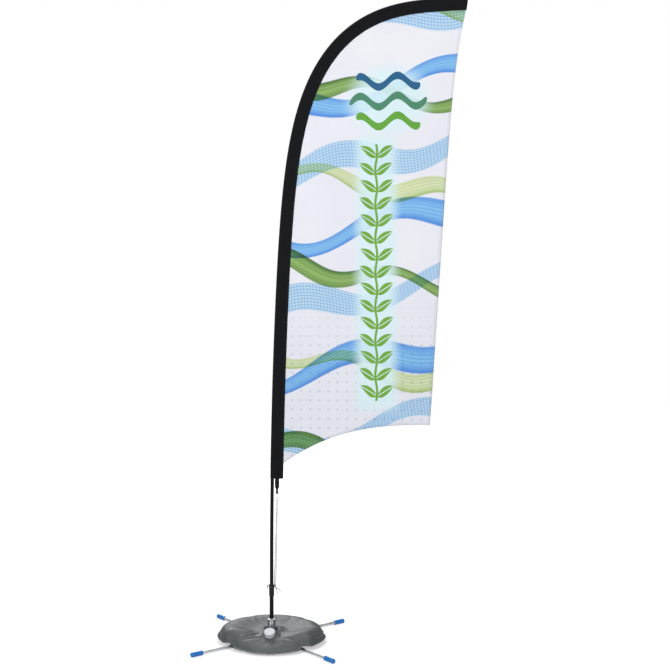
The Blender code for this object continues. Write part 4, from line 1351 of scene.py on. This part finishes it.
hubShape = {
    # radius and height, from the floor of the cup up its outside and down its bore
    "housing": [
        (16.9, 16.7), (17.5, 17.3), (17.5, 30), (17.1, 30.6), (17.1, 31.8), (17.5, 32.4), (17.5, 78.5),
        (17.0, 79.1), (17.0, 80.3),
        (17.5, 80.9), (17.5, 85.6), (16.8, 86.3), (13.6, 86.3), (13.6, 83.9), (14.4, 83.9), (14.4, 82.3),
        (13.6, 82.3), (13.6, 23.0),
        (10, 23.0), (10, 20.0), (4.3, 20.0), (4.3, 16.7),
    ],
    "shaft": [
        (6, 20.4), (6, 21.3), (5.2, 21.3), (5.2, 22.7), (6, 22.7), (6, 82.5), (8, 82.5), (8, 86.6),
        (16.0, 86.6), (16.5, 87.1),
        (16.5, 88.6), (15.4, 89.7), (13.4, 89.9), (7.3, 89.9), (7.3, 158.2), (5.6, 160.0),
    ],
}


def makeHub():
    housing = np.array(hubShape["housing"]) * mm
    parts = [turnedPiece("housing", housing, chromePlate, 128, 0.35 * mm, hollow=True)]
    for angle in (np.radians(-62), np.radians(118)):  # two grub screws that clamp the spindle's bush
        spot = np.array([np.cos(angle), np.sin(angle), 0])
        profile = np.array(
            [(2.6, -1.2), (2.6, 0.25), (2.2, 0.55), (1.35, 0.55), (1.35, -0.3), (0.05, -0.3)]
        ) * mm
        rings = turnedGrid(roundedCorners(profile, 0.15 * mm), 24)
        side = np.cross([0, 0, 1.0], spot)
        place = 17.5 * mm * spot + np.array([0, 0, 70 * mm])
        grid = place + rings[..., :1] * side + rings[..., 1:2] * np.array([0, 0, 1.0]) + rings[..., 2:] * spot
        parts.append(gridPiece("grubScrew", grid, zincPlate, wrapColumns=True, caps=True))
    standsFor(joined("hubHousing", parts), "base", "chrome", "hub_housing")
    shaft = turnedPiece("spindleShaft", np.array(hubShape["shaft"]) * mm, chromePlate, 96, 0.3 * mm)
    standsFor(shaft, "spindle", "chrome", "spindle")


legShape = {
    "angles": (45, 135, 225, 315),
    "height": 10 * mm,
    "reach": 0.420,
    "pivot": 0.022,
    "radius": 6.5 * mm,
    "bore": 5.2 * mm,
    "tongueWidth": 8 * mm,
    "tongueThickness": 3 * mm,
    "flattenStart": 33 * mm,
    "flattenEnd": 58 * mm,
    "capRadius": 10 * mm,
    "capLength": 57 * mm,
}


def legFrame(angle):  # turns (along the leg, across it, up) into the row frame
    c, s = np.cos(np.radians(angle)), np.sin(np.radians(angle))
    origin = np.array([np.sign(c) * legShape["pivot"], np.sign(s) * legShape["pivot"], legShape["height"]])
    return lambda grid: origin + grid @ np.array([[c, s, 0], [-s, c, 0], [0, 0, 1]])


def superRing(width, height, power, count):
    # |y / width|^power + |z / height|^power = 1, from a rounded oblong (high power) to a circle (power 2)
    angle = np.linspace(0, turn, count, endpoint=False)
    cosine, sine = np.cos(angle), np.sin(angle)
    y = width * np.sign(cosine) * np.abs(cosine) ** (2 / power)
    return y, height * np.sign(sine) * np.abs(sine) ** (2 / power)


def makeLeg(number, angle):
    half, thin, radius = legShape["tongueWidth"], legShape["tongueThickness"], legShape["radius"]
    pivotCircle = legShape["pivot"] * np.sqrt(2)
    tubeEnd = legShape["reach"] - pivotCircle - 9 * mm
    place = np.concatenate(
        [
            -half * np.cos(np.linspace(0.12, np.pi / 2, 9)),
            np.linspace(4 * mm, 30 * mm, 6),
            np.linspace(33 * mm, 60 * mm, 14),
            np.linspace(70 * mm, tubeEnd, 24),
        ]
    )
    share = smoothStep(place, legShape["flattenStart"], legShape["flattenEnd"])
    width = np.where(
        place < 0, np.sqrt(np.maximum(half**2 - np.minimum(place, 0) ** 2, 0)), half + (radius - half) * share
    )
    height = thin + (radius - thin) * share
    rings = []
    for x, w, h, part in zip(place, width, height, share):
        y, z = superRing(w, h, 6 - 4 * part, 36)
        rings.append(np.stack([0 * y + x, y, z], axis=-1))
    for x, r in (
        (tubeEnd, legShape["bore"] + 0.3 * mm),
        (tubeEnd - 1 * mm, legShape["bore"]),
        (tubeEnd - 30 * mm, legShape["bore"]),
    ):
        y, z = superRing(r, r, 2, 36)
        rings.append(np.stack([0 * y + x, y, z], axis=-1))
    tube = gridPiece(
        f"legTube{number}",
        legFrame(angle)(np.array(rings)),
        drawnSteel,
        wrapColumns=True,
        caps=True,
        sharp=50,
    )
    standsFor(tube, f"leg_{number}", "steel", f"leg_tube_{number}")
    makeLegCap(number, angle, tubeEnd, legShape["reach"] - pivotCircle)


def makeLegCap(number, angle, tubeEnd, capEnd):
    # A moulded sleeve with a rolled mouth, two shallow rings and a domed end.
    r, mouth = legShape["capRadius"], capEnd - legShape["capLength"]
    dome = np.linspace(0, np.pi / 2, 10)
    ends = np.stack(
        [r - 6.5 * mm + 6.5 * mm * np.cos(dome), capEnd - 6.5 * mm + 6.5 * mm * np.sin(dome)], axis=-1
    )
    outside = [
        (r - 0.9 * mm, mouth),
        (r - 0.1 * mm, mouth + 0.7 * mm),
        (r, mouth + 1.8 * mm),
        (r, mouth + 4.2 * mm),
        (r - 0.7 * mm, mouth + 5.2 * mm),
    ]
    for start in (30, 35):
        outside += [
            (r - 0.55 * mm, mouth + start * mm),
            (r - 0.95 * mm, mouth + (start + 0.7) * mm),
            (r - 0.95 * mm, mouth + (start + 1.9) * mm),
            (r - 0.5 * mm, mouth + (start + 2.6) * mm),
        ]
    inside = [(6.8 * mm, tubeEnd + 0.4 * mm), (6.8 * mm, mouth)]
    profile = np.vstack([[(0.2 * mm, tubeEnd + 0.4 * mm)], inside, outside, ends, [(0.2 * mm, capEnd)]])
    profile = roundedCorners(profile, 0.5 * mm, 3)
    rings = turnedGrid(profile, 48)
    turned = np.stack([rings[..., 2], rings[..., 0], rings[..., 1]], axis=-1)
    cap = gridPiece(
        f"legCap{number}", legFrame(angle)(turned), bluePlastic, wrapColumns=True, caps=True, sharp=45
    )
    standsFor(cap, f"leg_{number}", "blue_plastic", f"leg_cap_{number}")


makeHub()
for number, angle in enumerate(legShape["angles"], 1):
    makeLeg(number, angle)
print("hub and legs made")


valveShape = {
    "seat": np.array([0.005, -0.0941, 0.0467]),
    "tilt": 24,  # degrees, towards -Y
    "neck": [(22, -5.7), (22, 2.1), (21.2, 3), (19, 3.1), (19, 15), (14, 15), (14, -5.7)],
    "cap": [
        (19.4, 17.2),
        (19.4, 7.5),
        (23.1, 7.5),
        (23.1, 18.4),
        (22.2, 19.5),
        (20.0, 19.5),
        (19.4, 18.7),
        (4.4, 18.7),
        (4.0, 19.3),
        (0.05, 19.3),
    ],
    "ribs": 60,
    "ribRadius": 0.62 * mm,
}


def valveFrame(grid):  # from the valve's own axis to the row frame
    tilt = np.radians(valveShape["tilt"])
    c, s = np.cos(tilt), np.sin(tilt)
    return valveShape["seat"] + grid @ np.array([[1, 0, 0], [0, c, s], [0, -s, c]])


def makeValve():
    neck = turnedPiece(
        "valveNeck",
        np.array(valveShape["neck"]) * mm,
        whitePlastic,
        72,
        0.4 * mm,
        hollow=True,
        place=valveFrame,
    )
    standsFor(neck, "water_bag", "white_plastic", "valve_base")
    profile = roundedCorners(np.vstack([[(0.05, 17.2)], valveShape["cap"]]) * mm, 0.45 * mm)
    parts = [
        gridPiece("capShell", valveFrame(turnedGrid(profile, 96)), whitePlastic, wrapColumns=True, caps=True)
    ]
    angles = np.arange(valveShape["ribs"]) * turn / valveShape["ribs"]
    for angle in angles:  # grip ribs round the skirt
        spot = np.array([np.cos(angle), np.sin(angle), 0])
        rib = 22.95 * mm * spot + np.array([0, 0, 1.0]) * np.linspace(8.1, 17.9, 7)[:, None] * mm
        radius = roundedEnds(valveShape["ribRadius"], 7, 2)
        parts.append(
            gridPiece(
                "rib", valveFrame(alongPath(rib, radius, 8, spot)), whitePlastic, wrapColumns=True, caps=True
            )
        )
    for angle in np.arange(8) * turn / 8:  # raised petals and an inner ring on the lid
        spot = np.array([np.cos(angle), np.sin(angle), 0])
        bar = spot * np.linspace(8.2, 15.2, 11)[:, None] * mm + np.array([0, 0, 18.75]) * mm
        parts.append(
            gridPiece(
                "petal",
                valveFrame(roundedBar(bar, np.cross(spot, [0, 0, 1.0]), 1.5 * mm, 0.5 * mm, 2.6, 16)),
                whitePlastic,
                wrapColumns=True,
                caps=True,
            )
        )
    circle = np.linspace(0, turn, 72, endpoint=False)
    ring = np.stack([17 * mm * np.cos(circle), 17 * mm * np.sin(circle), 0 * circle + 18.7 * mm], axis=-1)
    grid = alongPath(np.vstack([ring[-2:], ring, ring[:2]]), 0.55 * mm, 10, (0, 0, 1))[2:-2]
    parts.append(gridPiece("lidRing", valveFrame(grid), whitePlastic, wrapRows=True, wrapColumns=True))
    standsFor(joined("valveCap", parts), "valve_cap", "white_plastic", "valve_cap")


makeValve()
print("valve made")
bagShape = {
    "seam": 0.231,  # radius of the welded outer edge once the bag is filled
    "flat": 0.252,  # and while it still lies flat
    "pinches": [
        (-136, 0.055, 5),
        (-113, 0.020, 6),
        (-70, 0.012, 7),
        (-43, 0.060, 5),
        (14, 0.018, 6),
        (128, 0.03, 6),
        (47, 0.035, 6),
    ],
    "hole": 0.0255,
    "top": 0.064,
    "weld": 11 * mm,
    "sheet": 1.3 * mm,
    "clearance": 17.8 * mm,
    "columns": 200,
    "rows": 28,
    "gravity": 0.2,
    "pressure": 15.5,
    "frames": 18,
    "most": 20 * mm,  # how far a point may settle
}


def restHeight(x, y):
    # Height of what the bag lies on: over the legs' sweep at the sides, near the floor in front and behind.
    radius = np.hypot(x, y)
    beside = (np.abs(y) - np.abs(x)) / np.sqrt(2)
    dip = smoothStep((beside - 0.011) / 0.035) * smoothStep((radius - 0.048) / 0.04)
    hub = 5.2 * mm * smoothStep((0.075 - radius) / 0.025)
    return bagShape["clearance"] + hub - 15.6 * mm * dip


def topHeight(share, angle):
    # Full all round, but sloping down to the floor at the front.
    pillow = (1 - np.abs(2 * share - 1) ** 3) ** 0.6
    seam = 0.036 - 0.012 * share
    full = seam + (bagShape["top"] - seam) * pillow
    sloped = 0.010 + 0.056 * (1 - share) ** 1.15 * np.minimum(1.0, 0.62 + 3.2 * share)
    front = smoothStep((-np.sin(angle) - 0.45) / 0.45)
    return full + (sloped - full) * front


def aroundValve(points):
    # Distance from the valve's axis, and the height of its seat's plane above each point's (x, y).
    tilt = np.radians(valveShape["tilt"])
    away = points - valveShape["seat"]
    up = np.array([0, -np.sin(tilt), np.cos(tilt)])
    side = away - (away @ up)[..., None] * up
    return np.linalg.norm(side, axis=-1), valveShape["seat"][2] + np.tan(tilt) * away[..., 1]


def bagGrid():
    angle = np.linspace(0, turn, bagShape["columns"], endpoint=False)[None]
    share = np.linspace(0, 1, bagShape["rows"])[:, None]
    seam = bagShape["seam"]
    # gathers: radius * (1 - depth * exp(-(angle away / spread) ** 2))
    for where, depth, spread in bagShape["pinches"]:
        away = (np.degrees(angle) - where + 180) % 360 - 180
        seam = seam * (1 - depth * np.exp(-((away / spread) ** 2)))
    radius = bagShape["hole"] + (seam - bagShape["hole"]) * share
    x, y = radius * np.cos(angle), radius * np.sin(angle)
    low = restHeight(x, y)
    high = np.maximum(topHeight(share, angle), low + 1 * mm)
    under = low + np.minimum(5 * mm, high - low) * np.abs(2 * share - 1) ** 12
    under[-1] = high[-1] = np.maximum(low[-1] + 4 * mm, high[-1])
    top = np.stack([x, y, high], axis=-1)
    gap, seat = aroundValve(top)
    top[..., 2] += (seat - top[..., 2]) * smoothStep((44 * mm - gap) / (18 * mm))
    return np.vstack([top, np.stack([x, y, under], axis=-1)[-2:0:-1]])


def flatGrid():
    angle = np.linspace(0, turn, bagShape["columns"], endpoint=False)[None]
    share = np.linspace(0, 1, bagShape["rows"])[:, None]
    radius = bagShape["hole"] + (bagShape["flat"] - bagShape["hole"]) * share
    top = np.stack([radius * np.cos(angle), radius * np.sin(angle), np.zeros_like(radius * angle)], axis=-1)
    return np.vstack([top, top[-2:0:-1]])


def makeBed():
    # What the bag settles on.
    side = np.linspace(-0.3, 0.3, 241)
    x, y = np.meshgrid(side, side)
    return gridPiece("bed", np.stack([x, y, restHeight(x, y) - 1.2 * mm], axis=-1), bagVinyl)


def settled(start):
    # The filled bag's shape: cloth with water's pressure in it, lying on its bed.
    scene = bpy.context.scene
    bed = makeBed()
    bed.modifiers.new("Collision", "COLLISION")
    bed.collision.thickness_outer = 1 * mm
    bed.collision.cloth_friction = 8
    shake = np.random.default_rng(7).normal(0, 0.25 * mm, start.shape)
    gap, _ = aroundValve(start)
    held = np.zeros(start.shape[:2], bool)
    held[:1] = True
    held[: bagShape["rows"]] |= gap[: bagShape["rows"]] < 25 * mm
    cloth = gridPiece("bagCloth", start + shake * ~held[..., None], bagVinyl, wrapRows=True, wrapColumns=True)
    cloth.shape_key_add(name="filled")
    flat = cloth.shape_key_add(name="flat")
    flat.data.foreach_set("co", flatGrid().ravel())
    group = cloth.vertex_groups.new(name="held")
    group.add(np.flatnonzero(held.ravel()).tolist(), 1.0, "REPLACE")
    modifier = cloth.modifiers.new("Cloth", "CLOTH")
    settings = modifier.settings
    settings.rest_shape_key = flat
    settings.vertex_group_mass = "held"
    settings.quality = 5
    settings.mass = 0.25
    settings.tension_stiffness = settings.compression_stiffness = 40
    settings.shear_stiffness = 20
    settings.bending_stiffness = 1.5
    settings.use_pressure = True
    settings.uniform_pressure_force = bagShape["pressure"]
    settings.effector_weights.gravity = bagShape["gravity"]
    modifier.collision_settings.distance_min = 1 * mm
    modifier.point_cache.frame_end = bagShape["frames"]
    for frame in range(1, bagShape["frames"] + 1):
        scene.frame_set(frame)
    shape = cloth.evaluated_get(bpy.context.evaluated_depsgraph_get()).to_mesh()
    points = np.empty(start.size)
    shape.vertices.foreach_get("co", points)
    scene.frame_set(1)
    for piece in (cloth, bed):
        bpy.data.objects.remove(piece)
    moved = points.reshape(start.shape) - start
    far = np.linalg.norm(moved, axis=-1, keepdims=True)
    print(f"bag settled, up to {far.max() * 1000:.1f} mm, middle {np.median(far) * 1000:.1f} mm")
    points = start + moved * np.minimum(1, bagShape["most"] / np.maximum(far, 1e-9))
    points[..., 2] = np.maximum(points[..., 2], restHeight(points[..., 0], points[..., 1]))
    return points


def makeBag():
    grid = bagGrid()
    grid = settled(grid)
    body = gridPiece("waterBag", grid, bagVinyl, wrapRows=True, wrapColumns=True)
    addModifier(body, "SUBSURF", levels=1, render_levels=1)
    profile = np.array([(0.05, -6.3), (22.5, -6.3), (22.5, 40), (0.05, 40)]) * mm
    pocket = gridPiece("pocket", valveFrame(turnedGrid(profile, 72)), bagVinyl, wrapColumns=True, caps=True)
    addModifier(body, "BOOLEAN", operation="DIFFERENCE", object=pocket)
    body.data = bpy.data.meshes.new_from_object(body.evaluated_get(bpy.context.evaluated_depsgraph_get()))
    body.modifiers.clear()
    body.data.shade_smooth()
    body.data.set_sharp_from_angle(angle=np.radians(48))
    bpy.data.objects.remove(pocket)
    seam = grid[bagShape["rows"] - 1]
    inside = (grid[bagShape["rows"] - 2] + grid[bagShape["rows"]]) / 2
    outward = unit(seam - inside)
    outward[:, 2] -= 0.25
    outward = unit(outward)
    steps = np.linspace(-3 * mm, bagShape["weld"], 6)[:, None, None]
    strip = seam + outward * steps
    across = unit(np.cross(outward, np.roll(seam, -1, axis=0) - np.roll(seam, 1, axis=0)))
    half = bagShape["sheet"] / 2
    lower = np.maximum(strip[..., 2], restHeight(strip[..., 0], strip[..., 1]) + half + 0.2 * mm)
    strip[..., 2] = lower
    flange = np.vstack([strip + across * half, (strip - across * half)[::-1]])
    weld = gridPiece("weld", flange, bagVinyl, wrapRows=True, wrapColumns=True)
    bag = joined("waterBag", [body, weld])
    standsFor(bag, "water_bag", "bag_pvc", "water_bag")


bagVinyl = plasticMaterial("bagVinyl", (0.088, 0.100, 0.103), 0.44)
makeBag()
print("water bag made")
